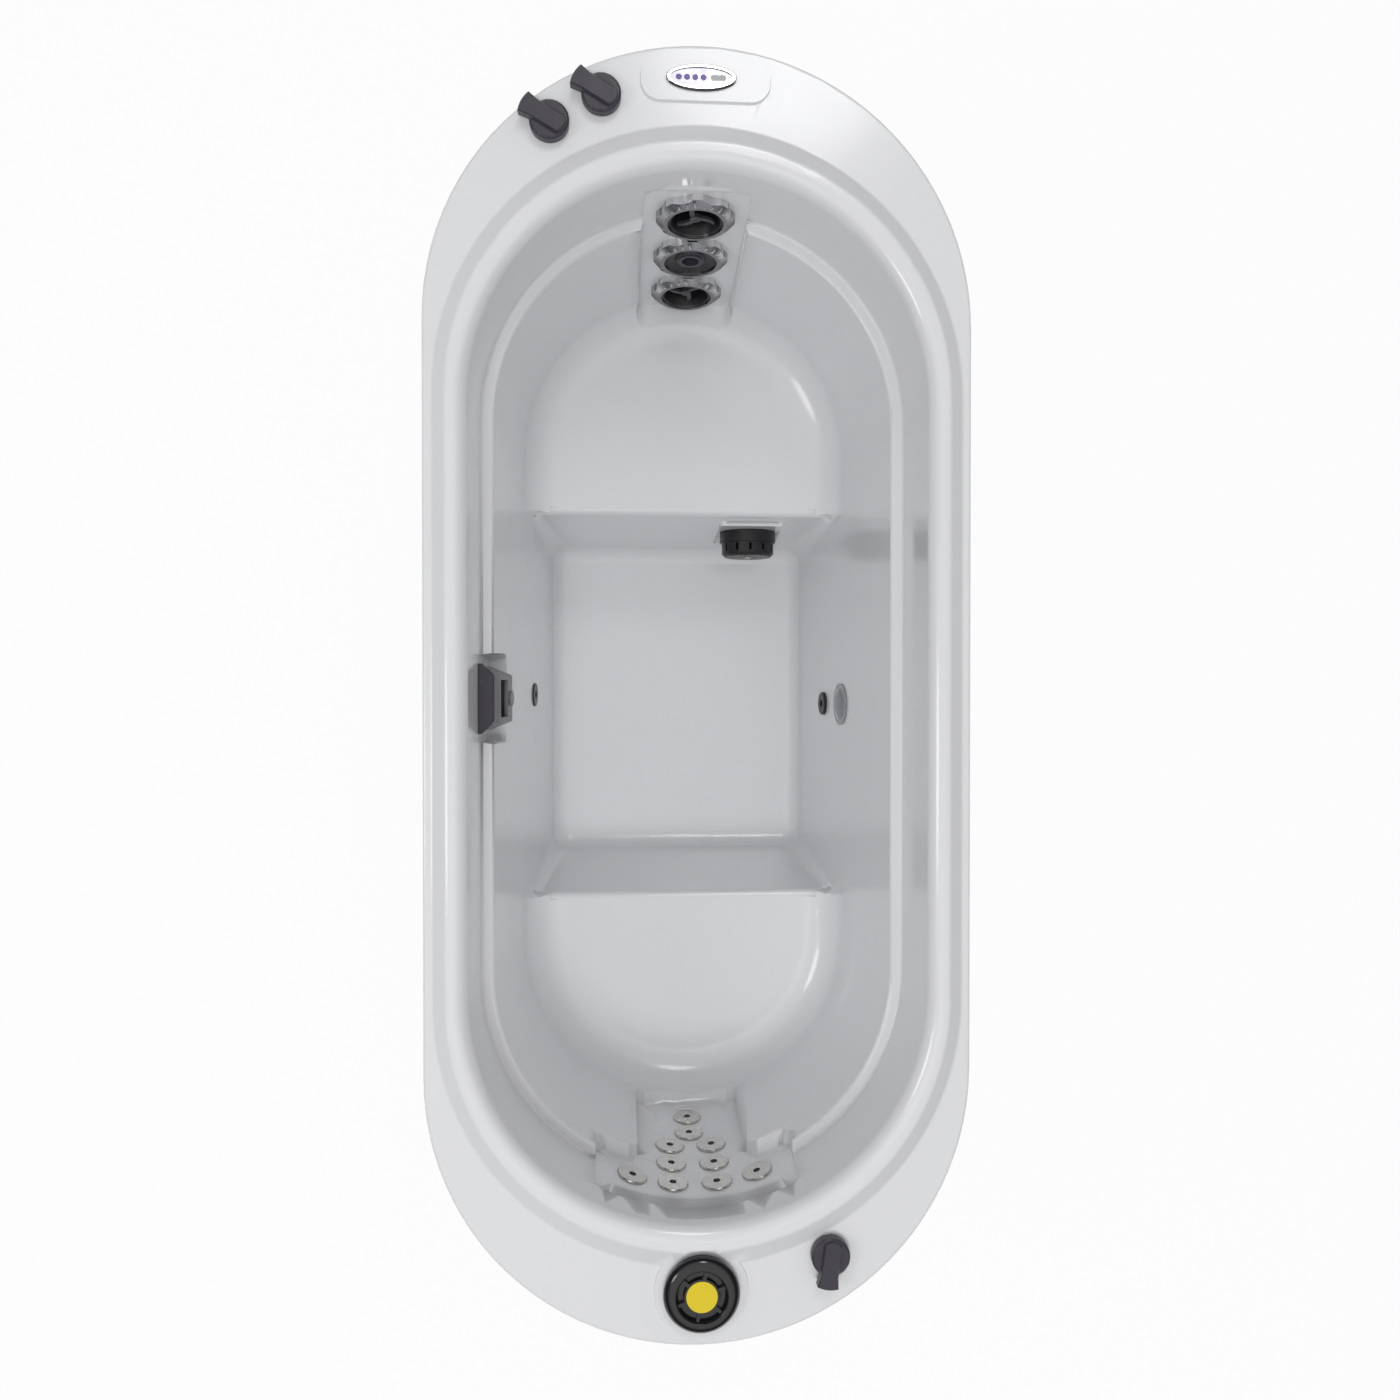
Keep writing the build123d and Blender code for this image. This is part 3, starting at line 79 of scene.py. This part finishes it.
class HotTubFinish(bpy.types.PropertyGroup):
    """Colours of the tub's finishes."""

    acrylic: FloatVectorProperty(name="Acrylic", description="Colour of the moulded shell", subtype="COLOR",
                                 size=3, min=0, max=1, default=(0.78, 0.785, 0.80))
    charcoal: FloatVectorProperty(name="Charcoal plastic", description="Colour of the knobs and the skimmer's hood",
                                  subtype="COLOR", size=3, min=0, max=1, default=(0.050, 0.046, 0.060))
    black: FloatVectorProperty(name="Black plastic", description="Colour of the wall fittings and the filter's cap",
                               subtype="COLOR", size=3, min=0, max=1, default=(0.011, 0.011, 0.013))
    grey: FloatVectorProperty(name="Grey plastic", description="Colour of the skimmer's front and the control box",
                              subtype="COLOR", size=3, min=0, max=1, default=(0.19, 0.19, 0.20))
    cabinet: FloatVectorProperty(name="Cabinet", description="Colour of the cabinet's panels", subtype="COLOR",
                                 size=3, min=0, max=1, default=(0.42, 0.41, 0.41))
    disc: FloatVectorProperty(name="Cap disc", description="Colour of the disc in the filter's cap", subtype="COLOR",
                              size=3, min=0, max=1, default=(0.80, 0.62, 0.02))


class HotTubScrews(bpy.types.PropertyGroup):
    """Fineness of the small fasteners."""

    sides: IntProperty(name="Sides", description="Sides of a screw head's outline", min=8, max=64, default=24)


class HotTubStage(bpy.types.PropertyGroup):
    """Camera, lamps and floor."""

    lens: FloatProperty(name="Lens", description="Focal length on a 36 mm sensor, in millimetres", min=10, max=200,
                        default=29.6)
    camera_height: FloatProperty(name="Camera height", description="Height of the camera above the floor",
                                 unit="LENGTH", min=1, max=10, default=2.606)
    camera_x: FloatProperty(name="Camera X", description="Camera's place across the tub", unit="LENGTH", min=-2, max=2,
                            default=-0.125)
    camera_y: FloatProperty(name="Camera Y", description="Camera's place along the tub", unit="LENGTH", min=-2, max=2,
                            default=0.0175)
    tilt_x: FloatProperty(name="Tilt across", description="How far the view leans towards +X", subtype="ANGLE",
                          min=-1, max=1, default=math.radians(4.0))
    tilt_y: FloatProperty(name="Tilt along", description="How far the view leans towards +Y", subtype="ANGLE",
                          min=-1, max=1, default=math.radians(-0.605))
    world_strength: FloatProperty(name="World light", description="Strength of the even light from all round", min=0,
                                  max=5, default=0.45)
    horizon: FloatProperty(name="Horizon in mirrors", description="How bright plated parts see the room low down", min=0,
                           max=1, default=0.06)
    overhead_power: FloatProperty(name="Overhead lamp", description="Power of the soft box above the tub",
                                  subtype="POWER", min=0, max=1000, default=120.0)
    backdrop_share: FloatProperty(name="Backdrop white", description="Share of plain white in the floor as it is seen",
                                  min=0, max=1, default=0.94)
    floor: FloatVectorProperty(name="Floor", description="Colour of the floor under the tub's shadow", subtype="COLOR",
                               size=3, min=0, max=1, default=(0.80, 0.80, 0.80))


# Node helpers

def link(tree, source, target):
    tree.links.new(source, target)


def object_coordinates(tree, scale=(1.0, 1.0, 1.0), rotation=(0.0, 0.0, 0.0)):
    """Object coordinates through a Mapping node, in metres."""
    coordinates = tree.nodes.new("ShaderNodeTexCoord")
    mapping = tree.nodes.new("ShaderNodeMapping")
    mapping.inputs["Scale"].default_value = scale
    mapping.inputs["Rotation"].default_value = rotation
    link(tree, coordinates.outputs["Object"], mapping.inputs["Vector"])
    return mapping.outputs["Vector"]


def seen_rays(tree):
    """1 for the rays that show the backdrop: from the camera, off a gloss or through glass."""
    path = tree.nodes.new("ShaderNodeLightPath")
    first = tree.nodes.new("ShaderNodeMath")
    first.operation = "MAXIMUM"
    second = tree.nodes.new("ShaderNodeMath")
    second.operation = "MAXIMUM"
    link(tree, path.outputs["Is Camera Ray"], first.inputs[0])
    link(tree, path.outputs["Is Glossy Ray"], first.inputs[1])
    link(tree, first.outputs["Value"], second.inputs[0])
    link(tree, path.outputs["Is Transmission Ray"], second.inputs[1])
    return second.outputs["Value"]


def add_group(name, inputs, outputs):
    """Empty shader group with named sockets; returns its tree and its input and output nodes."""
    tree = bpy.data.node_groups.new(name, "ShaderNodeTree")
    for label, kind, default in inputs:
        socket = tree.interface.new_socket(name=label, in_out="INPUT", socket_type=kind)
        if default is not None:
            socket.default_value = default
    for label, kind in outputs:
        tree.interface.new_socket(name=label, in_out="OUTPUT", socket_type=kind)
    return tree, tree.nodes.new("NodeGroupInput"), tree.nodes.new("NodeGroupOutput")


def mottle_group():
    """Two shades of one colour in soft patches: cast, moulded or worn surfaces."""
    tree, start, end = add_group("Mottle", [
        ("Vector", "NodeSocketVector", None), ("Scale", "NodeSocketFloat", 8.0), ("Light", "NodeSocketColor", None),
        ("Dark", "NodeSocketColor", None)], [("Color", "NodeSocketColor")])
    noise = tree.nodes.new("ShaderNodeTexNoise")
    noise.inputs["Detail"].default_value = 4.0
    mix = tree.nodes.new("ShaderNodeMix")
    mix.data_type = "RGBA"
    link(tree, start.outputs["Vector"], noise.inputs["Vector"])
    link(tree, start.outputs["Scale"], noise.inputs["Scale"])
    link(tree, noise.outputs["Fac"], mix.inputs["Factor"])
    link(tree, start.outputs["Light"], mix.inputs["A"])
    link(tree, start.outputs["Dark"], mix.inputs["B"])
    link(tree, mix.outputs["Result"], end.inputs["Color"])
    return tree


def smudge_group():
    """Roughness that wanders between two values, as handling and water marks leave it."""
    tree, start, end = add_group("Smudges", [
        ("Vector", "NodeSocketVector", None), ("Scale", "NodeSocketFloat", 20.0), ("Low", "NodeSocketFloat", 0.1),
        ("High", "NodeSocketFloat", 0.3)], [("Roughness", "NodeSocketFloat")])
    noise = tree.nodes.new("ShaderNodeTexNoise")
    noise.inputs["Detail"].default_value = 5.0
    noise.inputs["Roughness"].default_value = 0.65
    spread = tree.nodes.new("ShaderNodeMapRange")
    spread.inputs["From Min"].default_value = 0.3
    spread.inputs["From Max"].default_value = 0.7
    link(tree, start.outputs["Vector"], noise.inputs["Vector"])
    link(tree, start.outputs["Scale"], noise.inputs["Scale"])
    link(tree, noise.outputs["Fac"], spread.inputs["Value"])
    link(tree, start.outputs["Low"], spread.inputs["To Min"])
    link(tree, start.outputs["High"], spread.inputs["To Max"])
    link(tree, spread.outputs["Result"], end.inputs["Roughness"])
    return tree


def grain_group():
    """Fine height field of a moulded or spark-eroded skin."""
    tree, start, end = add_group("Grain", [
        ("Vector", "NodeSocketVector", None), ("Scale", "NodeSocketFloat", 900.0)], [("Height", "NodeSocketFloat")])
    noise = tree.nodes.new("ShaderNodeTexNoise")
    noise.inputs["Detail"].default_value = 2.0
    cells = tree.nodes.new("ShaderNodeTexVoronoi")
    add = tree.nodes.new("ShaderNodeMath")
    add.operation = "ADD"
    link(tree, start.outputs["Vector"], noise.inputs["Vector"])
    link(tree, start.outputs["Vector"], cells.inputs["Vector"])
    link(tree, start.outputs["Scale"], noise.inputs["Scale"])
    link(tree, start.outputs["Scale"], cells.inputs["Scale"])
    link(tree, noise.outputs["Fac"], add.inputs[0])
    link(tree, cells.outputs["Distance"], add.inputs[1])
    link(tree, add.outputs["Value"], end.inputs["Height"])
    return tree


def place_group(tree, group, **values):
    """Group node with its values set; words in the names are joined by underscores."""
    node = tree.nodes.new("ShaderNodeGroup")
    node.node_tree = group
    for label, value in values.items():
        node.inputs[label].default_value = value
    return node


def shade(colour, factor):
    """The colour made lighter or darker, as a four-part value."""
    return (*(min(1.0, part * factor) for part in colour[:3]), 1.0)


def finish(name, colour, contrast, patch, smudge, grain, height, **shader):
    """Principled material with mottled colour, wandering roughness and a fine bump.

    contrast is the darker shade's factor, patch and smudge are pattern scales with their values, grain and height
    are the bump's scale and depth, and shader holds the shader's own constant sockets.
    """
    material = bpy.data.materials.new(name)
    material.use_nodes = True
    tree = material.node_tree
    principled = tree.nodes["Principled BSDF"]
    for label, value in shader.items():
        principled.inputs[label.replace("_", " ")].default_value = value
    where = object_coordinates(tree)
    mottle = place_group(tree, bpy.data.node_groups["Mottle"], Scale=patch, Light=shade(colour, 1.0),
                         Dark=shade(colour, contrast))
    scale, low, high = smudge
    smudges = place_group(tree, bpy.data.node_groups["Smudges"], Scale=scale, Low=low, High=high)
    skin = place_group(tree, bpy.data.node_groups["Grain"], Scale=grain)
    bump = tree.nodes.new("ShaderNodeBump")
    bump.inputs["Distance"].default_value = height
    bump.inputs["Strength"].default_value = 0.5
    for group in (mottle, smudges, skin):
        link(tree, where, group.inputs["Vector"])
    link(tree, mottle.outputs["Color"], principled.inputs["Base Color"])
    link(tree, smudges.outputs["Roughness"], principled.inputs["Roughness"])
    link(tree, skin.outputs["Height"], bump.inputs["Height"])
    link(tree, bump.outputs["Normal"], principled.inputs["Normal"])
    return material


def plated_finish():
    """Mirror plating, with dark and bright bands of painted reflection multiplied into its colour by the way a face
    leans.
    """
    material = finish("Chrome plate", (0.83, 0.83, 0.84), 0.97, 40.0, (60.0, 0.05, 0.14), 300.0, 0.000004, Metallic=1.0)
    tree = material.node_tree
    principled = tree.nodes["Principled BSDF"]
    plate = principled.inputs["Base Color"].links[0].from_socket
    geometry = tree.nodes.new("ShaderNodeNewGeometry")
    lean = tree.nodes.new("ShaderNodeSeparateXYZ")
    share = tree.nodes.new("ShaderNodeMapRange")
    share.inputs["From Min"].default_value = -1.0
    # Painted reflection: a ramp of dark and bright tones by the normal's height, multiplied into the plate's colour
    painted_reflection_bands = tree.nodes.new("ShaderNodeValToRGB")
    for place, tone in PAINTED_REFLECTION_STOPS:
        stop = painted_reflection_bands.color_ramp.elements.new(place)
        stop.color = (tone, tone, tone * 1.02, 1)
    painted_reflection_mix = tree.nodes.new("ShaderNodeMix")
    painted_reflection_mix.data_type = "RGBA"
    painted_reflection_mix.blend_type = "MULTIPLY"
    painted_reflection_mix.inputs["Factor"].default_value = 1.0
    link(tree, geometry.outputs["Normal"], lean.inputs["Vector"])
    link(tree, lean.outputs["Z"], share.inputs["Value"])
    link(tree, share.outputs["Result"], painted_reflection_bands.inputs["Fac"])
    link(tree, plate, painted_reflection_mix.inputs["A"])
    link(tree, painted_reflection_bands.outputs["Color"], painted_reflection_mix.inputs["B"])
    link(tree, painted_reflection_mix.outputs["Result"], principled.inputs["Base Color"])
    return material


def make_finishes(colours):
    """Every material of the tub, by the record's slot name."""
    mottle_group()
    smudge_group()
    grain_group()
    white = tuple(colours.acrylic)
    black = tuple(colours.black)
    charcoal = tuple(colours.charcoal)
    grey = tuple(colours.grey)
    cabinet = tuple(colours.cabinet)
    return {
        "acrylic_white": finish("Acrylic", white, 0.975, 3.0, (6.0, 0.14, 0.26), 60.0, 0.00002,
                                Coat_Weight=0.45, Coat_Roughness=0.10, Specular_IOR_Level=0.5),
        "chrome_trim": plated_finish(),
        "stainless": finish("Stainless steel", (0.62, 0.61, 0.59), 0.90, 60.0, (90.0, 0.18, 0.34), 900.0, 0.00001,
                            Metallic=1.0),
        "black_plastic": finish("Black plastic", black, 0.7, 30.0, (40.0, 0.28, 0.42), 1400.0, 0.00003),
        "gloss_black": finish("Gloss black plastic", black, 0.8, 20.0, (30.0, 0.10, 0.22), 300.0, 0.00001,
                              Coat_Weight=0.5, Coat_Roughness=0.05),
        "charcoal_plastic": finish("Charcoal plastic", charcoal, 0.8, 30.0, (40.0, 0.30, 0.45), 1400.0, 0.00003),
        "grey_plastic": finish("Grey plastic", grey, 0.85, 30.0, (40.0, 0.30, 0.45), 1400.0, 0.00003),
        "rubber_seal": finish("Rubber seal", (0.02, 0.02, 0.02), 0.7, 30.0, (40.0, 0.6, 0.8), 1600.0, 0.00004),
        "lens_grey": finish("Lens", (0.36, 0.38, 0.39), 0.85, 30.0, (30.0, 0.10, 0.20), 400.0, 0.00004,
                            Transmission_Weight=0.35, Coat_Weight=0.5),
        "silver_plate": finish("Silver plate", (0.50, 0.48, 0.58), 0.9, 50.0, (60.0, 0.22, 0.36), 1200.0, 0.00001,
                               Metallic=0.7),
        "display_dark": finish("Display window", (0.006, 0.006, 0.010), 0.7, 30.0, (30.0, 0.05, 0.12), 300.0, 0.000005,
                               Coat_Weight=0.8),
        "key_violet": finish("Key caps", (0.20, 0.13, 0.42), 0.8, 60.0, (60.0, 0.3, 0.45), 1400.0, 0.00002),
        "yellow_disc": finish("Yellow disc", tuple(colours.disc), 0.94, 60.0, (60.0, 0.25, 0.4), 900.0, 0.00001),
        "filter_paper": finish("Filter fleece", (0.80, 0.82, 0.85), 0.9, 60.0, (60.0, 0.8, 0.95), 900.0, 0.0001),
        "cabinet_grey": finish("Cabinet panel", cabinet, 0.86, 14.0, (20.0, 0.42, 0.6), 260.0, 0.0002),
        "base_black": finish("Base plastic", (0.03, 0.03, 0.032), 0.8, 20.0, (30.0, 0.45, 0.6), 500.0, 0.0001),
        "frame_plastic": finish("Frame plastic", (0.05, 0.053, 0.057), 0.8, 20.0, (30.0, 0.5, 0.65), 500.0, 0.0001),
        "motor_blue": finish("Motor paint", (0.03, 0.04, 0.06), 0.8, 30.0, (40.0, 0.3, 0.45), 900.0, 0.00003),
        "pipe_white": finish("White pipe", (0.76, 0.76, 0.73), 0.94, 20.0, (30.0, 0.3, 0.42), 700.0, 0.00001),
        "hose_clear": finish("Clear hose", (0.58, 0.64, 0.68), 0.9, 20.0, (30.0, 0.15, 0.3), 700.0, 0.00001,
                             Transmission_Weight=0.4),
        "screw_steel": finish("Screw steel", (0.55, 0.55, 0.56), 0.85, 90.0, (90.0, 0.2, 0.35), 900.0, 0.00001,
                              Metallic=1.0),
    }


# Mesh helpers

def smooth_copy(node, angle=SMOOTH_ANGLE):
    """Copy of a CAD node with its loose triangles joined and its curved faces shaded smooth."""
    piece = bpy.data.objects.new(node + "_skin", NODES[node].data.copy())
    bpy.context.scene.collection.objects.link(piece)
    bm = bmesh.new()
    bm.from_mesh(piece.data)
    bmesh.ops.remove_doubles(bm, verts=bm.verts, dist=MERGE_DISTANCE)
    bmesh.ops.dissolve_limit(bm, angle_limit=FLAT_ANGLE, verts=bm.verts, edges=bm.edges)
    bm.to_mesh(piece.data)
    bm.free()
    piece.data.materials.clear()
    piece.data.shade_smooth()
    piece.data.set_sharp_from_angle(angle=angle)
    weighted = piece.modifiers.new("Weighted normals", "WEIGHTED_NORMAL")
    weighted.keep_sharp = True
    weighted.weight = 100
    return piece


def screw_head(name, radius, place, sides):
    """Domed pan head with a six-sided socket, its seat at the frame's origin and its top along Z."""
    bm = bmesh.new()
    bmesh.ops.create_circle(bm, cap_ends=True, segments=6, radius=radius * 0.42)
    bmesh.ops.translate(bm, verts=bm.verts, vec=(0, 0, radius * 0.25))
    rim = bmesh.ops.extrude_edge_only(bm, edges=list(bm.edges))["geom"]
    bmesh.ops.translate(bm, verts=[item for item in rim if isinstance(item, bmesh.types.BMVert)],
                        vec=(0, 0, radius * 0.30))
    inner = [item for item in rim if isinstance(item, bmesh.types.BMEdge)]
    for ring_radius, height in ((0.70, 0.50), (0.90, 0.34), (1.0, 0.12), (1.0, 0.0)):
        circle = bmesh.ops.create_circle(bm, segments=sides, radius=radius * ring_radius)["verts"]
        bmesh.ops.translate(bm, verts=circle, vec=(0, 0, radius * height))
        outer = list({edge for vert in circle for edge in vert.link_edges})
        bmesh.ops.bridge_loops(bm, edges=inner + outer)
        inner = outer
    bmesh.ops.contextual_create(bm, geom=inner)
    bmesh.ops.recalc_face_normals(bm, faces=bm.faces)
    bmesh.ops.transform(bm, matrix=place, verts=bm.verts)
    mesh = bpy.data.meshes.new(name)
    bm.to_mesh(mesh)
    bm.free()
    mesh.shade_smooth()
    mesh.set_sharp_from_angle(angle=SMOOTH_ANGLE)
    piece = bpy.data.objects.new(name, mesh)
    bpy.context.scene.collection.objects.link(piece)
    return piece


def dress(node, finishes, angle=SMOOTH_ANGLE):
    """Replace a CAD node by its smooth copy in its own finish."""
    piece = smooth_copy(node, angle)
    piece.data.materials.append(finishes[NODE_SLOT[node]])
    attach(piece, NODE_BODY[node])
    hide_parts(node)
    return piece


def settings(context):
    return context.scene.hot_tub_finish, context.scene.hot_tub_stage, context.scene.hot_tub_screws


def stored_finishes():
    """The finishes made by the first operator, by slot."""
    return {slot: bpy.data.materials[name] for slot, name in bpy.context.scene["hot_tub_materials"].items()}


# Operators

class MakeFinishes(bpy.types.Operator):
    """Make the materials"""

    bl_idname = "hot_tub.finishes"
    bl_label = "Finishes"

    def execute(self, context):
        finishes = make_finishes(context.scene.hot_tub_finish)
        context.scene["hot_tub_materials"] = {slot: material.name for slot, material in finishes.items()}
        for node, slot in NODE_SLOT.items():
            mesh = NODES[node].data
            mesh.materials.clear()
            mesh.materials.append(finishes[slot])
        return {"FINISHED"}


class SetStage(bpy.types.Operator):
    """Put up the floor, the lamps and the camera"""

    bl_idname = "hot_tub.stage"
    bl_label = "Stage"

    def execute(self, context):
        values = context.scene.hot_tub_stage
        self.add_floor(values)
        self.add_world(values)
        self.add_lamps(values)
        self.add_camera(values)
        context.scene.view_settings.view_transform = "Standard"
        return {"FINISHED"}

    def add_floor(self, values):
        """Pale floor that lights the object as it is and is seen nearly white, with the tub's shadow."""
        bm = bmesh.new()
        bmesh.ops.create_grid(bm, x_segments=1, y_segments=1, size=12)
        mesh = bpy.data.meshes.new("floor")
        bm.to_mesh(mesh)
        bm.free()
        floor = bpy.data.objects.new("floor", mesh)
        bpy.context.scene.collection.objects.link(floor)
        material = bpy.data.materials.new("Floor")
        material.use_nodes = True
        tree = material.node_tree
        principled = tree.nodes["Principled BSDF"]
        principled.inputs["Base Color"].default_value = (*values.floor, 1)
        principled.inputs["Roughness"].default_value = 0.9
        principled.inputs["Specular IOR Level"].default_value = 0.0
        white = tree.nodes.new("ShaderNodeEmission")
        mix = tree.nodes.new("ShaderNodeMixShader")
        share = tree.nodes.new("ShaderNodeMath")
        share.operation = "MULTIPLY"
        share.inputs[1].default_value = values.backdrop_share
        link(tree, seen_rays(tree), share.inputs[0])
        link(tree, share.outputs["Value"], mix.inputs["Fac"])
        link(tree, principled.outputs["BSDF"], mix.inputs[1])
        link(tree, white.outputs["Emission"], mix.inputs[2])
        link(tree, mix.outputs["Shader"], tree.nodes["Material Output"].inputs["Surface"])
        mesh.materials.append(material)

    def add_world(self, values):
        """Even light, which mirrors see darken towards the horizon and the camera sees white."""
        world = bpy.data.worlds.new("Studio")
        bpy.context.scene.world = world
        world.use_nodes = True
        tree = world.node_tree
        even = tree.nodes["Background"]
        even.inputs["Color"].default_value = (1, 1, 1, 1)
        even.inputs["Strength"].default_value = values.world_strength
        coordinates = tree.nodes.new("ShaderNodeTexCoord")
        height = tree.nodes.new("ShaderNodeSeparateXYZ")
        fade = tree.nodes.new("ShaderNodeMapRange")
        fade.inputs["From Min"].default_value = 0.45
        fade.inputs["From Max"].default_value = 0.8
        fade.inputs["To Min"].default_value = values.horizon
        room = tree.nodes.new("ShaderNodeBackground")
        path = tree.nodes.new("ShaderNodeLightPath")
        mirror = tree.nodes.new("ShaderNodeMixShader")
        white = tree.nodes.new("ShaderNodeBackground")
        white.inputs["Color"].default_value = (1, 1, 1, 1)
        seen = tree.nodes.new("ShaderNodeMixShader")
        link(tree, coordinates.outputs["Generated"], height.inputs["Vector"])
        link(tree, height.outputs["Z"], fade.inputs["Value"])
        link(tree, fade.outputs["Result"], room.inputs["Strength"])
        link(tree, path.outputs["Is Glossy Ray"], mirror.inputs["Fac"])
        link(tree, even.outputs["Background"], mirror.inputs[1])
        link(tree, room.outputs["Background"], mirror.inputs[2])
        link(tree, path.outputs["Is Camera Ray"], seen.inputs["Fac"])
        link(tree, mirror.outputs["Shader"], seen.inputs[1])
        link(tree, white.outputs["Background"], seen.inputs[2])
        link(tree, seen.outputs["Shader"], tree.nodes["World Output"].inputs["Surface"])

    def add_lamps(self, values):
        for name, place, size, share in (("lamp_overhead", (-0.5, -1.8, 6.4), 2.2, 1.0),
                                         ("lamp_head", (0.6, 3.0, 4.2), 1.2, 0.16),
                                         ("lamp_side", (-3.0, -0.4, 3.6), 1.2, 0.14)):
            lamp = bpy.data.lights.new(name, "AREA")
            lamp.shape = "DISK"
            lamp.size = size
            lamp.energy = values.overhead_power * share
            holder = bpy.data.objects.new(name, lamp)
            bpy.context.scene.collection.objects.link(holder)
            aim = Vector((0, 0, 0.6)) - Vector(place)
            holder.location = place
            holder.visible_glossy = share < 1
            holder.rotation_euler = aim.to_track_quat("-Z", "Y").to_euler()

    def add_camera(self, values):
        camera = bpy.data.cameras.new("camera")
        camera.lens = values.lens
        camera.sensor_width = 36.0
        holder = bpy.data.objects.new("camera", camera)
        bpy.context.scene.collection.objects.link(holder)
        forward = Vector((math.tan(values.tilt_x), math.tan(values.tilt_y), -1.0)).normalized()
        right = forward.cross(Vector((0, 1, 0))).normalized()
        up = right.cross(forward)
        turn = Matrix((right, up, -forward)).transposed().to_4x4()
        holder.matrix_world = Matrix.Translation((values.camera_x, values.camera_y, values.camera_height)) @ turn
        bpy.context.scene.camera = holder


class DressShell(bpy.types.Operator):
    """Dress the acrylic shell"""

    bl_idname = "hot_tub.shell"
    bl_label = "Shell"

    def execute(self, context):
        dress("shell", stored_finishes(), FINE_SMOOTH_ANGLE)
        return {"FINISHED"}


class DressFittings(bpy.types.Operator):
    """Dress the fittings that show"""

    bl_idname = "hot_tub.fittings"
    bl_label = "Fittings"

    def execute(self, context):
        finishes = stored_finishes()
        for node in sorted(NODES):
            if node != "shell":
                dress(node, finishes)
        return {"FINISHED"}


class AddScrews(bpy.types.Operator):
    """Add the screws of the cabinet's trims and of the suction cover"""

    bl_idname = "hot_tub.screws"
    bl_label = "Screws"

    def execute(self, context):
        steel = bpy.data.materials[context.scene["hot_tub_materials"]["stainless"]]
        places = [(self.trim_place(side, angle, height), 0.0048, "trim") for side in (-1, 1) for angle in
                  (SPLIT_ANGLE, math.pi - SPLIT_ANGLE) for height in TRIM_SCREW_HEIGHTS]
        places.append((self.cover_place(), 0.0072, "cover"))
        for number, (place, radius, name) in enumerate(places):
            piece = screw_head(f"screw_{name}_{number}", radius, place, context.scene.hot_tub_screws.sides)
            piece.data.materials.append(steel)
            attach(piece, "tub")
        return {"FINISHED"}

    def trim_place(self, side, angle, height):
        """Frame on a trim's face, its Z outwards."""
        outwards = Vector((math.cos(angle), side * math.sin(angle), 0))
        middle = Vector((0, side * CABINET_CENTRE, height)) + outwards * TRIM_FACE_RADIUS
        return Matrix.Translation(middle) @ outwards.to_track_quat("Z", "Y").to_matrix().to_4x4()

    def cover_place(self):
        """Frame on the middle of the suction cover's face, its Z outwards."""
        corners = [NODES["suction_cover"].matrix_world @ Vector(corner) for corner in NODES["suction_cover"].bound_box]
        middle = sum(corners, Vector()) / 8
        middle.y = min(corner.y for corner in corners)
        return Matrix.Translation(middle) @ Vector((0, -1, 0)).to_track_quat("Z", "Y").to_matrix().to_4x4()


class HotTubPanel(bpy.types.Panel):
    """Lists the tub's settings and steps"""

    bl_idname = "VIEW3D_PT_hot_tub"
    bl_label = "Hot tub"
    bl_space_type = "VIEW_3D"
    bl_region_type = "UI"
    bl_category = "Hot tub"

    def draw(self, context):
        for group in settings(context):
            box = self.layout.box()
            for name in group.bl_rna.properties.keys():
                if name not in ("rna_type", "name"):
                    box.prop(group, name)
        for step in STEPS:
            self.layout.operator(step.bl_idname)


GROUPS = (HotTubFinish, HotTubStage, HotTubScrews)
STEPS = (MakeFinishes, SetStage, DressShell, DressFittings, AddScrews)


def register():
    for item in (*GROUPS, *STEPS, HotTubPanel):
        bpy.utils.register_class(item)
    bpy.types.Scene.hot_tub_finish = PointerProperty(type=HotTubFinish)
    bpy.types.Scene.hot_tub_stage = PointerProperty(type=HotTubStage)
    bpy.types.Scene.hot_tub_screws = PointerProperty(type=HotTubScrews)


def unregister():
    del bpy.types.Scene.hot_tub_screws
    del bpy.types.Scene.hot_tub_stage
    del bpy.types.Scene.hot_tub_finish
    for item in reversed((*GROUPS, *STEPS, HotTubPanel)):
        bpy.utils.unregister_class(item)


def main():
    register()
    for step in STEPS:
        area, name = step.bl_idname.split(".")
        getattr(getattr(bpy.ops, area), name)()


if __name__ == "__main__":
    main()
